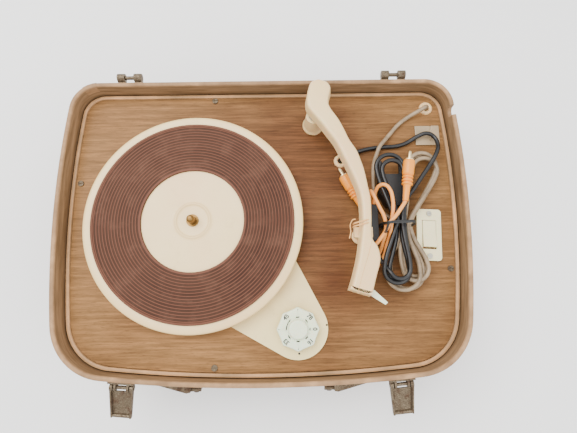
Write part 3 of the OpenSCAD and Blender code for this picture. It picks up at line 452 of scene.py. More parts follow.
def mat_rubber():
    """Ribbed red-brown rubber with dusty patches, its ribs lighter at their tops as a painted highlight and dark
    between them.
    """
    s = Shade("mat_rubber", Specular_IOR_Level=0.15)
    combine = s.add("ShaderNodeCombineXYZ")
    s.join(s.maths("MULTIPLY", s.radius_from(at(SPINDLE.x, SPINDLE.y, 0)), 160), combine.inputs[0])
    rings = s.noise(1, 3, 0.6, combine.outputs[0])
    dust = s.noise(60, 6, 0.7)
    patches = s.noise(14, 4, 0.6)
    base = s.ramp(patches, (0.3, seen(98, 66, 52)), (0.55, seen(114, 80, 62)), (0.75, seen(128, 92, 74)))
    banded = s.mix(s.span(rings, 0.42, 0.62, 0, 0.4), base, seen(132, 98, 78))
    dusty = s.mix(s.span(dust, 0.5, 0.75, 0, 0.35), banded, seen(172, 140, 118))
    # painted highlight: the top of each rib is mixed towards a lighter colour by its height
    rib_top_highlight = s.span(s.axis("Z"), BOARD_Z + 17.6 * MM, BOARD_Z + 17.97 * MM, 0, 0.6)
    ribs_with_highlight = s.mix(rib_top_highlight, dusty, seen(168, 124, 102))
    return s.done(ribs_with_highlight, 0.62, s.bump(s.noise(700, 3), 0.00005, 0.5))


def rubber(name, colour, pale):
    s = Shade(name, Specular_IOR_Level=0.35)
    dust = s.noise(120, 5, 0.7)
    return s.done(s.mix(s.span(dust, 0.45, 0.75, 0, 0.5), colour, pale), 0.65,
                  s.bump(s.noise(900, 3), 0.00006, 0.6))


def bright_metal(name, colour, rough=0.3, tarnish=seen(120, 104, 80), amount=0.5):
    s = Shade(name, Metallic=1.0)
    spots = s.noise(160, 6, 0.7)
    brushed = s.noise(500, 3, 0.6, s.scaled(1, 14, 1))
    base = s.mix(s.span(spots, 0.5, 0.72, 0, amount), colour, tarnish)
    return s.done(base, s.span(spots, 0.3, 0.75, rough, rough + 0.3), s.bump(brushed, 0.00002, 0.5))


def aged_metal():
    """Plated steel gone brown, with dull rust where the plating is lost."""
    s = Shade("aged_metal")
    blotches = s.noise(130, 7, 0.72)
    grit = s.noise(900, 4, 0.7)
    plate = s.ramp(grit, (0.35, seen(128, 112, 90)), (0.6, seen(168, 156, 136)), (0.8, seen(200, 192, 174)))
    rust = s.ramp(grit, (0.35, seen(88, 62, 38)), (0.7, seen(140, 106, 72)))
    where = s.span(blotches, 0.5, 0.64, 0, 1)
    normal = s.bump(grit, 0.00012, 0.7, s.bump(blotches, 0.0002, 0.5))
    return s.done(s.mix(where, plate, rust), s.span(blotches, 0.4, 0.65, 0.38, 0.8), normal,
                  s.span(blotches, 0.5, 0.64, 0.8, 0.1))


def moulded(name, colour, second, rough=0.4, coat=0.15, spread=0.5):
    s = Shade(name, Specular_IOR_Level=0.5, Coat_Weight=coat, Coat_Roughness=0.3)
    cloud = s.noise(80, 5, 0.65)
    scuffs = s.noise(900, 4, 0.7, s.scaled(1, 1, 2))
    base = s.mix(s.span(cloud, 0.4, 0.7, 0, spread), colour, second)
    return s.done(base, s.span(scuffs, 0.3, 0.7, rough - 0.06, rough + 0.14), s.bump(scuffs, 0.00003, 0.5))


LEATHERETTE = leatherette()
RIM = rim_paint()
LINING = wall_lining()
STRIP = strip_plastic()
VENEER = veneer()
PANEL = raw_wood("hardboard", seen(96, 66, 42), seen(128, 94, 62))
PINE = raw_wood("pine", seen(172, 134, 88), seen(206, 170, 122))
ENAMEL = cream("cream_enamel", seen(214, 206, 180), seen(226, 221, 200), seen(234, 231, 214))
PLATTER_ENAMEL = cream("platter_enamel", seen(222, 212, 186), seen(232, 226, 206), seen(238, 234, 218), 0.3)
ARM_PLASTIC = cream("arm_plastic", seen(224, 214, 192), seen(233, 226, 208), seen(238, 234, 220),
                    0.36, 0.15, 0.15)
WHITE = cream("white_plastic", seen(232, 233, 226), seen(237, 238, 233), seen(240, 241, 238), 0.3, 0.1, 0.12)
SWITCH_WHITE = cream("switch_plastic", seen(226, 223, 210), seen(233, 231, 220), seen(237, 236, 228),
                     0.36, 0.1, 0.25)
LABEL = cream("label_plastic", seen(184, 172, 148), seen(200, 188, 164), seen(210, 200, 178), 0.4, 0.0, 0.3)
MAT = mat_rubber()
BLACK_RUBBER = rubber("black_rubber", seen(30, 28, 28), seen(66, 62, 58))
BRASS = bright_metal("dull_brass", seen(176, 150, 96), 0.3, seen(96, 76, 44))
STEEL = bright_metal("bright_steel", seen(206, 204, 198), 0.28, seen(136, 126, 110), 0.4)
ALUMINIUM = bright_metal("aluminium", seen(204, 204, 204), 0.36, seen(160, 158, 154), 0.3)
NICKEL = bright_metal("nickel", seen(220, 214, 196), 0.22, seen(150, 134, 100), 0.35)
AGED = aged_metal()
IRON = bright_metal("iron_laminations", seen(110, 110, 114), 0.45, seen(96, 70, 50), 0.6)
COPPER = moulded("coil_wrap", seen(150, 76, 46), seen(106, 58, 38), 0.45)
HANDLE_BROWN = moulded("handle_plastic", seen(112, 76, 50), seen(84, 56, 38), 0.36, 0.3)
GREY_CORD = moulded("grey_cord", seen(190, 176, 152), seen(148, 130, 106), 0.42, 0.2, 0.8)
BLACK_CORD = moulded("black_cord", seen(28, 26, 30), seen(44, 42, 50), 0.34, 0.08)
YELLOW_CORD = moulded("yellow_cord", seen(236, 218, 164), seen(226, 204, 140), 0.38, 0.1, 0.6)
PLUG_YELLOW = moulded("plug_yellow", seen(236, 214, 96), seen(228, 200, 70), 0.34, 0.0)
BLACK_PLASTIC = moulded("black_plastic", seen(28, 26, 28), seen(48, 44, 44), 0.4)
STRING = moulded("string", seen(224, 208, 170), seen(190, 168, 130), 0.8, 0.0)
INK = moulded("print_ink", seen(44, 42, 44), seen(70, 66, 64), 0.5, 0.0)
# painted shade: this dark fill for the screw slots stands in for the shade inside them
SLOT_SHADE = moulded("painted_slot_shade", seen(40, 28, 18), seen(54, 40, 28), 0.8, 0.0)


# ---- Cords ----

def smooth_cord(name, points, diameter, material, body="case", replaces=()):
    """A round cord as one smooth open curve through row-frame points."""
    data = bpy.data.curves.new(name, "CURVE")
    data.dimensions = "3D"
    data.bevel_depth = diameter / 2 * MM
    data.bevel_resolution = 3
    data.use_fill_caps = True
    spline = data.splines.new("BEZIER")
    spline.bezier_points.add(len(points) - 1)
    for knot, p in zip(spline.bezier_points, points):
        knot.co = p
        knot.handle_left_type = "AUTO"
        knot.handle_right_type = "AUTO"
    spline.resolution_u = 6
    data.materials.append(material)
    return new_object(name, data, body, replaces)


def hank_turn(top, waist, low, top_r, low_r, half, z, first_down):
    """One pinched turn of a hank: up on the left of the waist, over the top, down on the right and round."""
    up = (top - waist).normalized()
    down = (low - waist).normalized()
    up_side = Vector((up.y, -up.x))
    down_side = Vector((-down.y, down.x))
    rise = []
    for a in range(180, -1, -30):
        t = math.radians(a)
        rise.append(top + top_r * (math.cos(t) * up_side + math.sin(t) * up))
    fall = []
    for a in range(0, 181, 30):
        t = math.radians(a)
        fall.append(low + low_r * (math.cos(t) * down_side + math.sin(t) * down))
    across = Vector((1, 0))
    left = [waist - across * half + up * 3]
    right = [waist + across * half + up * 3, waist + across * half + down * 4]
    line = [right[1]] + fall if first_down else left + rise + right + fall
    line.append(waist - across * half + down * 4)
    return [at(p.x, p.y, z) for p in line]


MAINS_D = 4.0
SIGNAL_D = 4.0
LEAD_D = 3.4

MAINS_ROUTE = [(162.2, 117, -4), (162.2, 117, 4), (159, 114.5, 8), (152, 111, 6), (143, 106.5, 3),
               (133, 99, 2.2), (125, 90, 2.4), (117.5, 81, 5.2), (112.8, 75, 6.6), (109.5, 67, 5.2),
               (107, 58, 2.4), (106, 46, 2.2), (106, 34, 2.2), (107.2, 22.5, 2.2), (111.6, 12.5, 3.4),
               (119, 6, 4.4), (127.5, 2, 5.4)]
SIGNAL_ROUTE = [(75.5, 63.3, -4), (75.5, 63.3, 3), (79, 66, 5.5), (86, 69.5, 3), (95, 72.5, 2.6),
                (105, 75, 2.2), (114.5, 76, 2.2), (124, 76.6, 2.2), (132, 77.4, 2.6), (141, 80.5, 3),
                (150, 85.5, 5), (159, 88, 7), (165.5, 85, 6.5), (168, 77, 8.5), (164.8, 67, 13.4),
                (157, 54, 13.6), (149, 43, 13.8), (141, 32, 14.2), (133.5, 22, 15)]
LEAD_A_ROUTE = [(103.4, 17, 10.2), (103.8, 23, 12.5), (104.6, 29, 17.5), (107.2, 32.3, 22.6),
                (111, 32, 25.6), (114.8, 27.5, 26.6), (116.8, 19, 26.4), (116.9, 10, 25.6),
                (116.2, 3.5, 24), (115.6, -2.5, 22.6), (115, -10, 18), (112.8, -20, 12), (110.4, -30, 8.5),
                (104.5, -38.5, 6.5), (97, -40.5, 6), (92.8, -34.5, 6.4), (96.5, -25, 13.5), (102, -20, 19),
                (106.8, -13.5, 22.5), (110.2, -8, 25.6), (113, -2.5, 27.6), (118, 3, 28),
                (123.2, 9.8, 27.6), (127.9, 16.5, 27)]
LEAD_B_ROUTE = [(99.6, 17, 10.2), (99.2, 22, 13), (98.6, 26.3, 17), (98.6, 27.4, 21.5), (99.6, 24.5, 25),
                (101.8, 18.5, 26.4), (105.1, 11, 26), (108.4, 4, 25), (110, -2.5, 24), (110.3, -9, 20.5),
                (109.8, -14, 17), (108.5, -21, 11.5), (106, -28.5, 6.4), (101.5, -33.5, 3.4),
                (95.8, -33.5, 2.4), (92.6, -28.5, 2.2), (94.5, -22, 2.2), (98.4, -14, 2.2),
                (99.2, -2, 2.4), (94.5, 12.5, 7)]


def placed(route):
    return [at(*p) for p in route]


# Each turn: centre of its top bow and radius, centre of its low bow and radius, half width at the tie, height
MAINS_TURNS = [((154, 55), 11, (139, -38), 10.5, 2.1, 5.6), ((152.5, 52), 13.5, (131, -44.5), 15, 4.6, 6.4),
               ((151, 54), 13, (138, -41), 11.5, 4.2, 9.8), ((153, 50), 11.5, (126.5, -45.5), 15, 2.2, 10.6)]
SIGNAL_TURNS = [((114.5, 49.5), 13.5, (121.7, -45), 9, 2.2, 15.2),
                ((118, 50), 12.5, (118.5, -43.5), 11, 4.2, 19.2),
                ((120, 47), 9.6, (121, -42), 9, 2.2, 20.4)]


def hank_of(turns, waist):
    points = []
    for i, (top, top_r, low, low_r, half, z) in enumerate(turns):
        points += hank_turn(Vector(top), waist, Vector(low), top_r, low_r, half, z, i == 0)
    return points


MAINS_HANK = hank_of(MAINS_TURNS, Vector((131, -2.5)))
mains_end = placed([(126.5, -6, 10.8), (125, 2, 10.4), (123.6, 6.8, 9.4), (122.3, 11.5, 7.8),
                    (121.8, 16.5, 6.5)])
mains_cord = smooth_cord("mains_cord", placed(MAINS_ROUTE) + MAINS_HANK[:-1] + mains_end, MAINS_D, GREY_CORD,
                         replaces=["mains_lead", "mains_hank"])

SIGNAL_HANK = hank_of(SIGNAL_TURNS, Vector((124.2, -2.5)))
signal_end = placed([(107, -36, 14.5), (103.6, -28, 12.4), (101.6, -21, 10.6), (101.5, -16.5, 10)])
signal_cord = smooth_cord("signal_cord", placed(SIGNAL_ROUTE) + SIGNAL_HANK[:-2] + signal_end, SIGNAL_D,
                          BLACK_CORD, replaces=["signal_lead", "signal_hank"])

lead_a = smooth_cord("lead_a_cord", placed(LEAD_A_ROUTE), LEAD_D, YELLOW_CORD,
                     replaces=["phono_lead_a"])
lead_b = smooth_cord("lead_b_cord", placed(LEAD_B_ROUTE), LEAD_D, YELLOW_CORD,
                     replaces=["phono_lead_b"])


def plug_profile():
    """Half section of a phono plug's body along its length: sleeve, three rings and barrel."""
    sleeve = [(1.75, 0), (2.5, 0.3), (2.7, 6), (3.2, 13.5)]
    rings = []
    for i in range(3):
        x = 14.5 + 3.1 * i
        rings += [(3.6, x), (4.7, x + 0.5), (4.9, x + 1.2), (4.7, x + 1.9), (3.6, x + 2.4)]
    barrel = [(4.9, 24.4), (5.15, 25.2), (5.2, 36), (4.9, 37.4), (4.4, 38)]
    return sleeve + rings + barrel


def turned_along(profile, start, direction, segments=32):
    """A profile of (radius, distance) turned about a line from a row-frame point, in millimetres."""
    axis = direction.normalized()
    side = axis.orthogonal().normalized()
    other = axis.cross(side)
    verts = []
    faces = []
    rows = len(profile)
    for s in range(segments):
        a = 2 * math.pi * s / segments
        around = math.cos(a) * side + math.sin(a) * other
        verts += [start + axis * d * MM + around * r * MM for r, d in profile]
    for s in range(segments):
        t = (s + 1) % segments
        faces += [(s * rows + k, t * rows + k, t * rows + k + 1, s * rows + k + 1) for k in range(rows - 1)]
    return verts, faces


def phono_plug(name, tail, turn):
    """A yellow phono plug with a nickel shell and pin, its tail at a place and its tip turned from +Y."""
    direction = Vector((-math.sin(math.radians(turn)), math.cos(math.radians(turn)), 0))
    start = at(*tail)
    body = [(0.2, 0)] + plug_profile() + [(3.9, 38.2)]
    shell = [(3.9, 37.6), (4.1, 38.1), (4.1, 38.9), (3.6, 38.9), (3.5, 37.6)]
    pin = [(1.5, 36), (1.6, 38), (1.6, 45), (1.3, 46.3), (0.6, 47), (0.01, 47.1)]
    cap = [(3.7, 38.1), (0.02, 38.1)]
    verts, faces, marks = [], [], []
    for profile, mark in ((body, 0), (cap, 0), (shell, 1), (pin, 1)):
        v, f = turned_along(profile, start, direction)
        faces += [tuple(i + len(verts) for i in face) for face in f]
        verts += v
        marks += [mark] * len(f)
    return mesh_object(name, verts, faces, "case", [PLUG_YELLOW, NICKEL], ["phono_plugs"], 40,
                       marks)


plug_a = phono_plug("phono_plug_a", (127.9, 16.5, 27), -9)
plug_b = phono_plug("phono_plug_b", (94.5, 12.5, 7), 27.5)


def hand_held_strain_relief():
    """Tapered rubber sleeve where the mains cord enters its plug."""
    path = placed([(125, 2, 10.4), (123.6, 6.8, 9.4), (122.3, 11.5, 7.8), (121.9, 14.4, 6.9),
                   (121.8, 17, 6.5)])
    line = catmull(path, 4)
    scale = [1 + 0.9 * i / (len(line) - 1) + (0.12 if i % 4 < 2 else 0) for i in range(len(line))]
    verts, faces = tube_mesh(line, MAINS_D / 2 * MM, 16, scale)
    return mesh_object("mains_plug_sleeve", verts, faces, "case", [BLACK_PLASTIC])


mains_sleeve = hand_held_strain_relief()

TIE_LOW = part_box("cable_tie")[0]
TIE_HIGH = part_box("cable_tie")[1]


def twist_tie():
    """Flat plastic tie pulled round the bundle, its two ends twisted together and bent over."""
    low, high = TIE_LOW, TIE_HIGH
    y = (low.y + high.y) / 2
    inset = 0.9 * MM
    x0, x1, z0, z1 = low.x + inset, high.x - inset, low.z + inset, high.z - inset
    corner = 7.5 * MM
    loop = []
    for cx, cz, start in ((x1 - corner, z1 - corner, 0), (x0 + corner, z1 - corner, 90),
                          (x0 + corner, z0 + corner, 180), (x1 - corner, z0 + corner, 270)):
        for k in range(7):
            a = math.radians(start + 15 * k)
            loop.append(Vector((cx + corner * math.cos(a), y, cz + corner * math.sin(a))))
    verts, faces = [], []
    n = len(loop)
    for i, p in enumerate(loop):
        wave = 0.5 * MM * math.sin(4 * math.pi * i / n)
        out = Vector((p.x - (x0 + x1) / 2, 0, p.z - (z0 + z1) / 2)).normalized()
        for dy, dr in ((-1.3, -0.35), (-1.3, 0.2), (-0.35, 0.25), (0, 0.55), (0.35, 0.25), (1.3, 0.2),
                       (1.3, -0.35)):
            verts.append(p + Vector((0, dy * MM + wave, 0)) + out * dr * MM)
    rows = 7
    for i in range(n):
        j = (i + 1) % n
        for k in range(rows):
            m = (k + 1) % rows
            faces.append((i * rows + k, j * rows + k, j * rows + m, i * rows + m))
    tie = mesh_object("twist_tie", verts, faces, "case", [BLACK_PLASTIC], ["cable_tie"], 50)
    root = Vector((x0 + 4 * MM, y, z1 - 0.4 * MM))
    for side in (0, 1):
        tail = []
        for i in range(22):
            t = i / 21
            a = 5.5 * math.pi * t + math.pi * side
            r = 0.75 * MM * (1 if t < 0.75 else 1 + 3 * (t - 0.75))
            tail.append(root + Vector((-3.4 * MM * t, -0.4 * MM - 9 * MM * t, 0))
                        + Vector((math.cos(a) * r, 0, math.sin(a) * r * 0.6)))
        v, f = tube_mesh(tail, 0.55 * MM, 6)
        mesh_object(f"twist_tie_end_{side + 1}", v, f, "case", [BLACK_PLASTIC])
    return tie


tie = twist_tie()


# ---- Case: outline shared by the covering, the lining and the strip ----

WALL_T = 4.4
BOW_R = 875.0
FRONT_R = 1300.0
BACK_CORNER = 27.0
FRONT_CORNER = 52.0
WIDEST_Y = 21.0
SLOT_W = 10.0
SLOT_DEPTH = 8.5
SLOT_Y = CASE_D / 2 - 32.2


def outline_columns():
    """Columns round the case. A plan place is centre + (radius - inset) * direction."""
    side_c = Vector((CASE_W / 2 - BOW_R, WIDEST_Y))
    front_c = Vector((0, FRONT_R - CASE_D / 2))
    fillet_y = CASE_D / 2 - BACK_CORNER
    back_f = Vector((side_c.x + math.sqrt((BOW_R - BACK_CORNER) ** 2 - (fillet_y - WIDEST_Y) ** 2), fillet_y))
    gap = front_c - side_c
    r1, r2 = BOW_R - FRONT_CORNER, FRONT_R - FRONT_CORNER
    along = (r1 * r1 - r2 * r2 + gap.length_squared) / (2 * gap.length)
    off = math.sqrt(r1 * r1 - along * along)
    front_f = side_c + gap.normalized() * along + Vector((gap.y, -gap.x)).normalized() * off

    def angle(v):
        return math.atan2(v.y, v.x)

    front_turn = angle(front_f - front_c)
    low_turn = angle(front_f - side_c)
    high_turn = angle(back_f - side_c)
    right = []

    def sweep(centre, radius, start, end, count):
        for i in range(count):
            a = start + (end - start) * i / count
            right.append((centre, radius, Vector((math.cos(a), math.sin(a)))))

    sweep(front_c, FRONT_R, -math.pi / 2, front_turn, 36)
    sweep(front_f, FRONT_CORNER, front_turn, low_turn, 16)
    notch_start = math.asin((SLOT_Y - SLOT_W / 2 - 1.5 - WIDEST_Y) / BOW_R)
    notch_end = math.asin((SLOT_Y + SLOT_W / 2 + 1.5 - WIDEST_Y) / BOW_R)
    sweep(side_c, BOW_R, low_turn, notch_start, 50)
    sweep(side_c, BOW_R, notch_start, notch_end, 44)
    sweep(side_c, BOW_R, notch_end, high_turn, 2)
    sweep(back_f, BACK_CORNER, high_turn, math.pi / 2, 14)
    for i in range(30):
        x = back_f.x * (1 - i / 30)
        right.append((Vector((x, 0)), CASE_D / 2, Vector((0, 1))))
    left = [(Vector((-c.x, c.y)), r, Vector((-u.x, u.y))) for c, r, u in right[:0:-1]]
    last = [(Vector((0, 0)), CASE_D / 2, Vector((0, 1)))]
    return right + last + left


COLUMNS = outline_columns()


def column_place(column, inset):
    centre, radius, direction = column
    return centre + (radius - inset) * direction


def slot_drop(place):
    """How far the rim dips for the cable slot at a plan place, in millimetres."""
    off = abs(place.y - SLOT_Y)
    if place.x < 0 or off >= SLOT_W / 2:
        return 0.0
    radius = SLOT_W / 2
    return SLOT_DEPTH - radius + math.sqrt(radius * radius - off * off)


def ring_of(profile, name, materials, body="case", replaces=(), sharp=40, columns=None, marks=None):
    """Sweeps a profile of (inset, height above the rim, share of the slot's dip) round the case."""
    columns = columns or COLUMNS
    closed = columns is COLUMNS
    rows = len(profile)
    verts, faces, indices = [], [], []
    for column in columns:
        dip = slot_drop(column_place(column, 0))
        for inset, z, share in profile:
            p = column_place(column, inset)
            verts.append(at(p.x, p.y, DROP + z - share * dip))
    n = len(columns)
    for i in range(n if closed else n - 1):
        j = (i + 1) % n
        for k in range(rows - 1):
            faces.append((i * rows + k, j * rows + k, j * rows + k + 1, i * rows + k + 1))
            indices.append(marks[k] if marks else 0)
    return mesh_object(name, verts, faces, body, materials, replaces, sharp, indices)


def case_shell():
    """Wall with its covering folded over the rim and its lining inside."""
    height = (RIM_Z - WALL_LOW.z) / MM
    profile = [(WALL_T, -height + 0.1, 0), (1.4, -height, 0), (0.4, -height + 0.4, 0), (0.02, -height + 1.4, 0)]
    profile += [(0.02, -height + 1.4 + (height - 18) * i / 6, 0) for i in range(1, 7)]
    profile += [(0.0, -14.5, 0.6), (0.0, -3.0, 1), (0.05, -1.7, 1)]
    outside = len(profile)
    profile += [(0.25, -0.9, 1), (0.7, -0.3, 1), (1.3, -0.05, 1), (2.2, 0, 1), (3.1, -0.05, 1),
                (3.7, -0.3, 1), (4.15, -0.9, 1), (WALL_T, -1.7, 1)]
    rim_end = len(profile)
    profile += [(WALL_T, -3.0, 1), (WALL_T, -15.5, 0.6), (WALL_T, -DROP, 0), (WALL_T, -DROP - 6, 0)]
    marks = [0] * (outside - 1) + [1] * (rim_end - outside) + [2] * (len(profile) - rim_end)
    return ring_of(profile, "case_covering", [LEATHERETTE, RIM, LINING],
                   replaces=["case_wall"], marks=marks)


shell = case_shell()


def inner_faces():
    """Closes the wall's inside down to the bottom panel, behind the board."""
    height = (RIM_Z - WALL_LOW.z) / MM
    return ring_of([(WALL_T, -DROP - 6, 0), (WALL_T, -height + 0.1, 0)], "case_wall_inside", [PANEL])


inner_faces()

STRIP_IN = 5.2
STRIP_W = 3.2
strip_z = (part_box("edge_strip")[1].z - RIM_Z) / MM
strip_profile = [(STRIP_IN, strip_z - 6, 0), (STRIP_IN, strip_z - 0.7, 0), (STRIP_IN + 0.25, strip_z - 0.2, 0),
                 (STRIP_IN + 0.9, strip_z, 0), (STRIP_IN + STRIP_W - 0.9, strip_z, 0),
                 (STRIP_IN + STRIP_W - 0.25, strip_z - 0.2, 0), (STRIP_IN + STRIP_W, strip_z - 0.7, 0),
                 (STRIP_IN + STRIP_W, strip_z - 6, 0)]
ring_of(strip_profile, "edge_strip_moulding", [STRIP], replaces=["edge_strip"])

# Lapped seam of the covering over the rim at the back's left corner
corner_columns = [c for c in COLUMNS if -174 < column_place(c, 0).x < -158 and column_place(c, 0).y > 120]
lap_profile = [(-0.18, -26, 0), (-0.2, -1.6, 0), (0.05, -0.5, 0), (0.9, 0.22, 0), (2.2, 0.3, 0), (3.5, 0.22, 0),
               (4.4, -0.5, 0), (4.65, -1.6, 0), (4.6, -9, 0)]
ring_of(lap_profile, "covering_lap", [RIM], columns=corner_columns)


# ---- Deck plate, platter and mat ----

bevel(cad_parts["deck_plate"], 0.5, 3)

PLATTER_R = (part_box("platter")[1].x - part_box("platter")[0].x) / 2 / MM
PLATTER_TOP = (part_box("platter")[1].z - BOARD_Z) / MM
PLATTER_LOW = (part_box("platter")[0].z - BOARD_Z) / MM
MAT_TOP = (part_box("platter_mat")[1].z - BOARD_Z) / MM
MAT_R = 92.0
MAT_HOLE = 46.5


def platter_profile():
    """Pressed platter: flat top, stepped and rolled edge, skirt, and the thin web and boss underneath."""
    r, top, low = PLATTER_R, PLATTER_TOP, PLATTER_LOW
    inside = [(5.55, top - 8), (11, top - 8), (11, top - 2.6), (12, top - 1.7), (r - 9, top - 1.7),
              (r - 7.4, top - 2.4), (r - 7, top - 4), (r - 7, low)]
    edge = [(r - 1.2, low), (r - 0.35, low + 0.35), (r - 0.3, low + 1.2), (r - 0.3, top - 5.2),
            (r - 0.05, top - 4.7), (r, top - 4), (r, top - 1.9), (r - 0.25, top - 1.1), (r - 0.8, top - 0.5),
            (r - 1.7, top - 0.1), (r - 2.8, top)]
    land = [(r - 7.6, top), (MAT_R + 0.1, top - 0.05), (MAT_HOLE, top - 0.05)]
    ring = [(19.5, top), (17.4, top + 0.02), (16.6, top + 0.22), (16.1, top + 0.75), (15.5, top + 0.9),
            (14.9, top + 0.75), (14.4, top + 0.2), (13.4, top), (9.5, top), (5.55, top)]
    return inside + edge + land + ring + [inside[0]]


revolved("platter_pressing", platter_profile(), SPINDLE, "platter", PLATTER_ENAMEL, ["platter"],
         256, 60)


def mat_profile():
    """Ribbed ring mat: round-topped ribs between two plain borders."""
    low, top = PLATTER_TOP, MAT_TOP
    pitch = 2.7
    border = 2.4
    line = [(MAT_HOLE, low), (MAT_HOLE, top - 0.5), (MAT_HOLE + 0.3, top - 0.12), (MAT_HOLE + 0.8, top),
            (MAT_HOLE + border - 0.2, top)]
    ribs = int((MAT_R - MAT_HOLE - 2 * border) / pitch)
    pitch = (MAT_R - MAT_HOLE - 2 * border) / ribs
    for i in range(ribs):
        start = MAT_HOLE + border + i * pitch
        for share, depth in ((0.0, 0.55), (0.5, 0.55), (0.6, 0.2), (0.68, 0.03), (0.78, 0), (0.88, 0.03),
                             (0.95, 0.2)):
            line.append((start + share * pitch, top - depth))
    line += [(MAT_R - border, top - 0.5), (MAT_R - border + 0.3, top - 0.1), (MAT_R - 0.7, top),
             (MAT_R - 0.15, top - 0.3), (MAT_R, top - 0.8), (MAT_R, low)]
    return line


revolved("ribbed_mat", mat_profile(), SPINDLE, "platter", MAT, ["platter_mat"], 220, 40)


# ---- Speed knob with its numerals ----

KNOB_R = 19.3
KNOB_TOP = 10.0


def star_outline(radius, hollow, count=8, steps=6):
    """Points of the knob joined by shallow hollows."""
    line = []
    for i in range(count):
        a, b = 2 * math.pi * i / count, 2 * math.pi * (i + 1) / count
        p, q = (KNOB + radius * Vector((math.cos(t), math.sin(t))) for t in (a, b))
        m = (a + b) / 2
        inward = Vector((math.cos(m), math.sin(m)))
        for k in range(steps):
            t = (k + 0.35) / (steps - 0.3)
            line.append(p.lerp(q, t) - inward * hollow * 4 * t * (1 - t))
    return line


star = star_outline(KNOB_R, 0.35)
prism("speed_knob_skirt", star, [(1.2, 3.0), (0.2, 3.1), (0.0, 3.6), (0.1, 8.6), (0.35, 9.4), (0.9, 9.85),
                                 (1.7, 10.0), (4.5, 10.15), (8.5, 10.2)],
      "knob", WHITE, ["speed_knob"], 50)
revolved("speed_knob_cap", [(9.6, 10.28), (9.2, 10.45), (8.75, 10.8), (8.5, 11.6), (8.35, 13.4), (8.0, 14.1),
                            (7.3, 14.45), (6.2, 14.5), (4.0, 14.38), (0.01, 14.3)],
         KNOB, "knob", WHITE, (), 72, 50)
revolved("speed_knob_hub", [(5.9, 2.0), (6, 2.1), (6, 3.4)], KNOB, "knob", WHITE)


def numeral(text, angle, radius=14.6):
    """One speed printed on the knob's skirt, its head outwards."""
    data = bpy.data.curves.new(f"numeral_{text}", "FONT")
    data.body = text
    data.size = 5.2 * MM
    data.align_x = "CENTER"
    data.align_y = "CENTER"
    data.extrude = 0.05 * MM
    data.offset = 0.13 * MM
    data.materials.append(INK)
    obj = bpy.data.objects.new(f"numeral_{text}", data)
    bpy.context.scene.collection.objects.link(obj)
    a = math.radians(angle)
    obj.location = at(KNOB.x + radius * math.cos(a), KNOB.y + radius * math.sin(a), KNOB_TOP + 0.17)
    obj.rotation_euler = (0, 0, a - math.pi / 2)
    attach(obj, "knob")
    return obj


for label, angle in (("0", 0), ("78", 45), ("45", 135), ("33", 225), ("16", 315)):
    numeral(label, angle)


def ink_dot(name, x, y, z, radius, body="case"):
    profile = [(radius, z - 0.3), (radius, z), (radius * 0.9, z + 0.04), (0.01, z + 0.05)]
    return revolved(name, profile, (x, y), body, INK, (), 20)


ink_dot("index_dot_front", KNOB.x + 0.8, KNOB.y - 21.5, 1.35, 0.95)
ink_dot("index_dot_right", KNOB.x + 25.86, KNOB.y + 2.72, 1.35, 0.8)


# ---- Tonearm ----

ARM_LOW = (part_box("tonearm")[0].z - BOARD_Z) / MM
ARM_TOP = (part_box("tonearm")[1].z - BOARD_Z) / MM
ARM_EDGE = [(2, 29.8), (-4.5, 26.2), (-7.2, 16), (-8.5, 8), (-6.5, 0), (3.5, -13), (10, -22.5), (16.5, -32), (23, -46),
            (30, -62.5), (35, -77), (36.5, -88.5), (36.5, -100), (36, -109), (34.8, -118), (32.4, -132), (28.8, -146),
            (24, -160.6), (41.8, -166.2), (44.5, -162), (46.5, -155.5), (48.7, -148), (51, -141), (52.3, -133.5),
            (50.5, -124.5), (46.5, -118), (46, -109), (46.5, -100), (46.7, -84.5), (44.8, -71.5), (42.5, -58),
            (40, -49), (36.5, -39), (30.5, -29), (26, -18.5), (21, -8.5), (16, -1), (13.2, 5), (13.4, 11),
            (15, 16.5), (15.2, 22), (12.2, 26.8), (7, 29.4)]
FRONT_FIRST, FRONT_LAST = 17, 18


def arm_outline():
    """Smooth closed outline of the arm in the plan, straight across its front edge."""
    points = [PIVOT + Vector(p) for p in ARM_EDGE]
    return catmull(points[FRONT_LAST:] + points[:FRONT_FIRST + 1], 5)


def tonearm_shell():
    outline = arm_outline()
    h = ARM_TOP - ARM_LOW
    outside = [(0.0, ARM_LOW), (0.25, ARM_LOW + 0.25 * h), (0.65, ARM_LOW + 0.6 * h), (0.95, ARM_TOP - 2.6),
               (1.25, ARM_TOP - 1.5), (1.75, ARM_TOP - 0.75), (2.5, ARM_TOP - 0.25), (3.4, ARM_TOP - 0.04),
               (4.0, ARM_TOP)]
    inside = [(2.6, ARM_TOP - 1.8), (1.9, ARM_LOW + 0.5 * h), (1.5, ARM_LOW)]
    rings = [[at(p.x, p.y, z) for p in moved_in(outline, inset)] for inset, z in inside]
    outer_rings = [[at(p.x, p.y, z) for p in moved_in(outline, inset)] for inset, z in outside]
    verts, faces = stack(rings + outer_rings, True, True)
    return mesh_object("tonearm_shell", verts, faces, "arm", [ARM_PLASTIC], ["tonearm"], 42)


tonearm_shell()


def head_crease():
    """Fine joint line down the side of the headshell."""
    path = catmull(placed([(94.3, -19.3, ARM_TOP - 0.02), (90.2, -32.6, ARM_TOP - 0.02),
                           (85.6, -45.7, ARM_TOP - 0.02), (80.2, -63.1, ARM_TOP - 0.02)]), 6)
    verts, faces = tube_mesh(path, 0.17 * MM, 6)
    return mesh_object("headshell_joint", verts, faces, "arm", [STRING])


head_crease()

revolved("arm_post_moulding", [(2.7, 0.02), (9.2, 0.02), (10.0, 0.5), (10.2, 1.4), (9.9, 2.6), (9.2, 3.6),
                               (8.7, 5.5), (8.0, 12), (7.6, 18), (7.3, 21.2), (6.7, 21.95), (5.8, 22), (2.7, 22)],
         PIVOT, "case", ARM_PLASTIC, (), 72, 50)


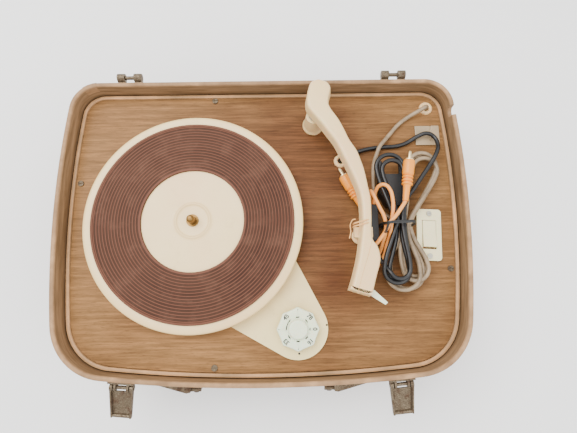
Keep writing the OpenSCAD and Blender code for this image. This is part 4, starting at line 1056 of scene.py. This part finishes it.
def string_tie():
    """Old string wound twice round the arm, with one free end."""
    centre = at(86.5, -3.5, ARM_LOW + (ARM_TOP - ARM_LOW) / 2)
    half_w, half_h = 6.6 * MM, 6.6 * MM
    path = []
    turns = 2.0
    count = 64
    for i in range(count + 1):
        a = 2 * math.pi * turns * i / count + 0.6
        ca, sa = math.cos(a), math.sin(a)
        x = half_w * math.copysign(abs(ca) ** 0.45, ca)
        z = half_h * math.copysign(abs(sa) ** 0.45, sa)
        path.append(centre + Vector((x, 5.2 * MM * (i / count - 0.5) + x * 0.28, z)))
    verts, faces = tube_mesh(path, 0.5 * MM, 8)
    mesh_object("string_winding", verts, faces, "arm", [STRING])
    end = [centre + Vector(p) * MM for p in ((-5.5, 2, 6.4), (-8, 1.4, 5.8), (-9.6, -2.4, 2.6), (-9.2, -8, 1.4),
                                             (-10.5, -13.5, 0.8))]
    verts, faces = tube_mesh(catmull(end, 8), 0.45 * MM, 8)
    mesh_object("string_end", verts, faces, "arm", [STRING])


string_tie()


# ---- Grommets, screws, latches, hinges, handle and feet ----

def grommet(name, node_side):
    low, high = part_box("cable_grommets")
    centre = in_case(Vector((high.x, high.y, 0))) - Vector((6.6, 6.6)) if node_side else \
        in_case(Vector((low.x, low.y, 0))) + Vector((6.6, 6.6))
    profile = [(2.6, -8), (2.6, 0.6), (2.9, 1.5), (3.6, 2.15), (4.5, 2.3), (5.5, 2.0), (6.3, 1.2), (6.6, 0.3), (6.6, 0.02)]
    return revolved(name, profile, centre, "case", ARM_PLASTIC, ["cable_grommets"], 48, 50)


grommet("mains_grommet", True)
grommet("signal_grommet", False)


def handle_grip():
    """Moulded carrying handle: round legs flowing into a fuller grip."""
    low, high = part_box("handle")
    y = (low.y + high.y) / 2
    pivot_z = BOARD_Z - 3 * MM
    leg = 58.2 * MM
    grip_z = low.z + 7 * MM
    path = [Vector((-leg, y, pivot_z)), Vector((-leg, y, pivot_z - 12 * MM)), Vector((-leg, y, grip_z + 8 * MM)),
            Vector((-leg + 3 * MM, y, grip_z + 1.5 * MM)), Vector((-leg + 12 * MM, y, grip_z)),
            Vector((-30 * MM, y, grip_z)), Vector((0, y, grip_z))]
    path += [Vector((-p.x, p.y, p.z)) for p in path[-2::-1]]
    line = catmull(path, 8)
    verts, faces = [], []
    sides = 16
    for i, p in enumerate(line):
        t = (line[min(i + 1, len(line) - 1)] - line[max(i - 1, 0)]).normalized()
        out = t.cross(Vector((0, 1, 0))).normalized()
        full = min(1.0, max(0.0, (abs(p.x) - leg) / (-16 * MM)))
        wide = (3.1 + 3.1 * full) * MM
        thick = 2.9 * MM
        for k in range(sides):
            a = 2 * math.pi * k / sides
            ca, sa = math.cos(a), math.sin(a)
            verts.append(p + out * wide * math.copysign(abs(ca) ** 0.8, ca)
                         + Vector((0, thick * math.copysign(abs(sa) ** 0.8, sa), 0)))
    n = len(line)
    for i in range(n - 1):
        for k in range(sides):
            j = (k + 1) % sides
            faces.append((i * sides + k, i * sides + j, (i + 1) * sides + j, (i + 1) * sides + k))
    faces += [tuple(range(sides)), tuple((n - 1) * sides + k for k in range(sides))]
    mesh_object("carrying_handle", verts, faces, "handle", [HANDLE_BROWN], ["handle"], 60)
    for side in (-1, 1):
        start = Vector((side * 54 * MM, y, pivot_z))
        v, f = turned_along([(0.01, 0), (2, 0.1), (2, 17)], start, Vector((side, 0, 0)), 24)
        mesh_object(f"handle_pin_{'left' if side < 0 else 'right'}", v, f, "handle", [AGED])


handle_grip()


def screw_head(name, place, outward, radius, turn, body="case"):
    """Domed slotted screw head on a vertical face."""
    profile = [(radius, 0), (radius, 0.25), (radius * 0.8, 0.8), (radius * 0.4, 1.05), (0.01, 1.1)]
    verts, faces = turned_along(profile, place, outward, 24)
    head = mesh_object(name, verts, faces, body, [AGED], (), 50)
    across = Vector((math.cos(turn), 0, math.sin(turn)))
    slot_v, slot_f = [], []
    for s in (-1, 1):
        for e in (-1, 1):
            for d in (0.5, 1.13):
                slot_v.append(place + outward * d * MM + across * s * radius * 0.86 * MM
                              + outward.cross(across) * e * 0.22 * MM)
    slot_f = [(0, 1, 3, 2), (4, 5, 7, 6), (0, 1, 5, 4), (2, 3, 7, 6), (1, 3, 7, 5), (0, 2, 6, 4)]
    # painted shade: the slot is a dark bar that stands in for the shade inside it
    mesh_object(name + "_slot", slot_v, slot_f, body, [SLOT_SHADE])
    return head


HINGE_X = 127.5
HINGE_SCREW_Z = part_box("hinge_leaves")[0].z + 9 * MM
for hinge_side in (-1, 1):
    for offset in (-8, 8):
        place = Vector((hinge_side * HINGE_X * MM + offset * MM, CASE_Y + (CASE_D / 2 + 1.2) * MM,
                        HINGE_SCREW_Z))
        number = (hinge_side + 1) * 2 + (offset + 8) // 8 + 1
        screw_head(f"hinge_screw_{number}", place, Vector((0, 1, 0)), 2.3, 0.5 + offset * 0.1 + hinge_side)

for node, width in (("hinge_leaves", 0.35), ("latch_plates", 0.3), ("latch_left", 0.35), ("latch_right", 0.35),
                    ("handle_brackets", 1.2), ("switch_plate", 0.7), ("rocker", 0.5), ("voltage_plate", 0.5),
                    ("arm_rest", 0.6), ("inline_socket", 1.0), ("mains_plug", 1.0), ("rubber_feet", 0.6),
                    ("stylus_lever", 0.3), ("cartridge", 0.4), ("board_screws", 0.15), ("switch_screws", 0.15)):
    bevel(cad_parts[node], width)

NODE_MATERIALS = {
    PANEL: ["case_bottom"], PINE: ["board_cleats"], VENEER: ["motor_board"],
    AGED: ["board_screws", "pivot_pins", "hinge_leaves", "latch_plates", "handle_brackets", "latch_left",
           "latch_right"],
    STEEL: ["motor_screws", "bearing_tube", "thrust_ball", "post_nut", "switch_screws", "idler_arm",
            "rotor_shaft", "knob_shaft", "lift_pin"],
    ENAMEL: ["deck_plate"], BLACK_RUBBER: ["rubber_feet", "rubber_bushes", "idler_tyre"],
    IRON: ["stator_stack", "rotor_core", "counterweight"], COPPER: ["stator_coil"],
    ALUMINIUM: ["motor_bridges", "arm_yoke"],
    ARM_PLASTIC: ["arm_post", "arm_rest", "switch_body", "speed_cam", "cartridge"],
    LABEL: ["voltage_plate"],
    SWITCH_WHITE: ["switch_plate", "rocker"], WHITE: ["stylus_lever"],
    BRASS: ["spindle", "centre_bush", "idler_wheel", "stepped_pulley"],
    BLACK_PLASTIC: ["mains_plug", "inline_socket"],
}
for material, names in NODE_MATERIALS.items():
    for name in names:
        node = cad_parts[name]
        node.data.materials.clear()
        node.data.materials.append(material)


# ---- Floor and light ----

def pale_floor():
    s = Shade("studio_floor")
    share = s.span(s.noise(3, 3), 0.3, 0.7, 0, 1)
    return s.done(s.mix(share, (0.93, 0.93, 0.925, 1), (0.96, 0.96, 0.955, 1)), 0.9)


floor_mesh = bpy.data.meshes.new("floor")
floor_mesh.from_pydata([(-3, -3, 0), (3, -3, 0), (3, 3, 0), (-3, 3, 0)], [], [(0, 1, 2, 3)])
floor_mesh.materials.append(pale_floor())
floor = bpy.data.objects.new("floor", floor_mesh)
bpy.context.scene.collection.objects.link(floor)


def soft_light(name, place, size, power, colour=(1, 1, 1)):
    data = bpy.data.lights.new(name, "AREA")
    data.size = size
    data.energy = power
    data.color = colour
    light = bpy.data.objects.new(name, data)
    light.location = place
    light.rotation_euler = (Vector((0, 0, 0.05)) - Vector(place)).to_track_quat("-Z", "Y").to_euler()
    bpy.context.scene.collection.objects.link(light)
    return light


soft_light("key", (-0.55, 0.5, 1.5), 1.1, 30, (1, 0.985, 0.96))
soft_light("fill", (0.9, -0.6, 1.2), 1.4, 12, (0.97, 0.985, 1))

world = bpy.data.worlds.new("studio")
bpy.context.scene.world = world
world.use_nodes = True
world.node_tree.nodes["Background"].inputs["Color"].default_value = (1, 1, 1, 1)
world.node_tree.nodes["Background"].inputs["Strength"].default_value = 1.6
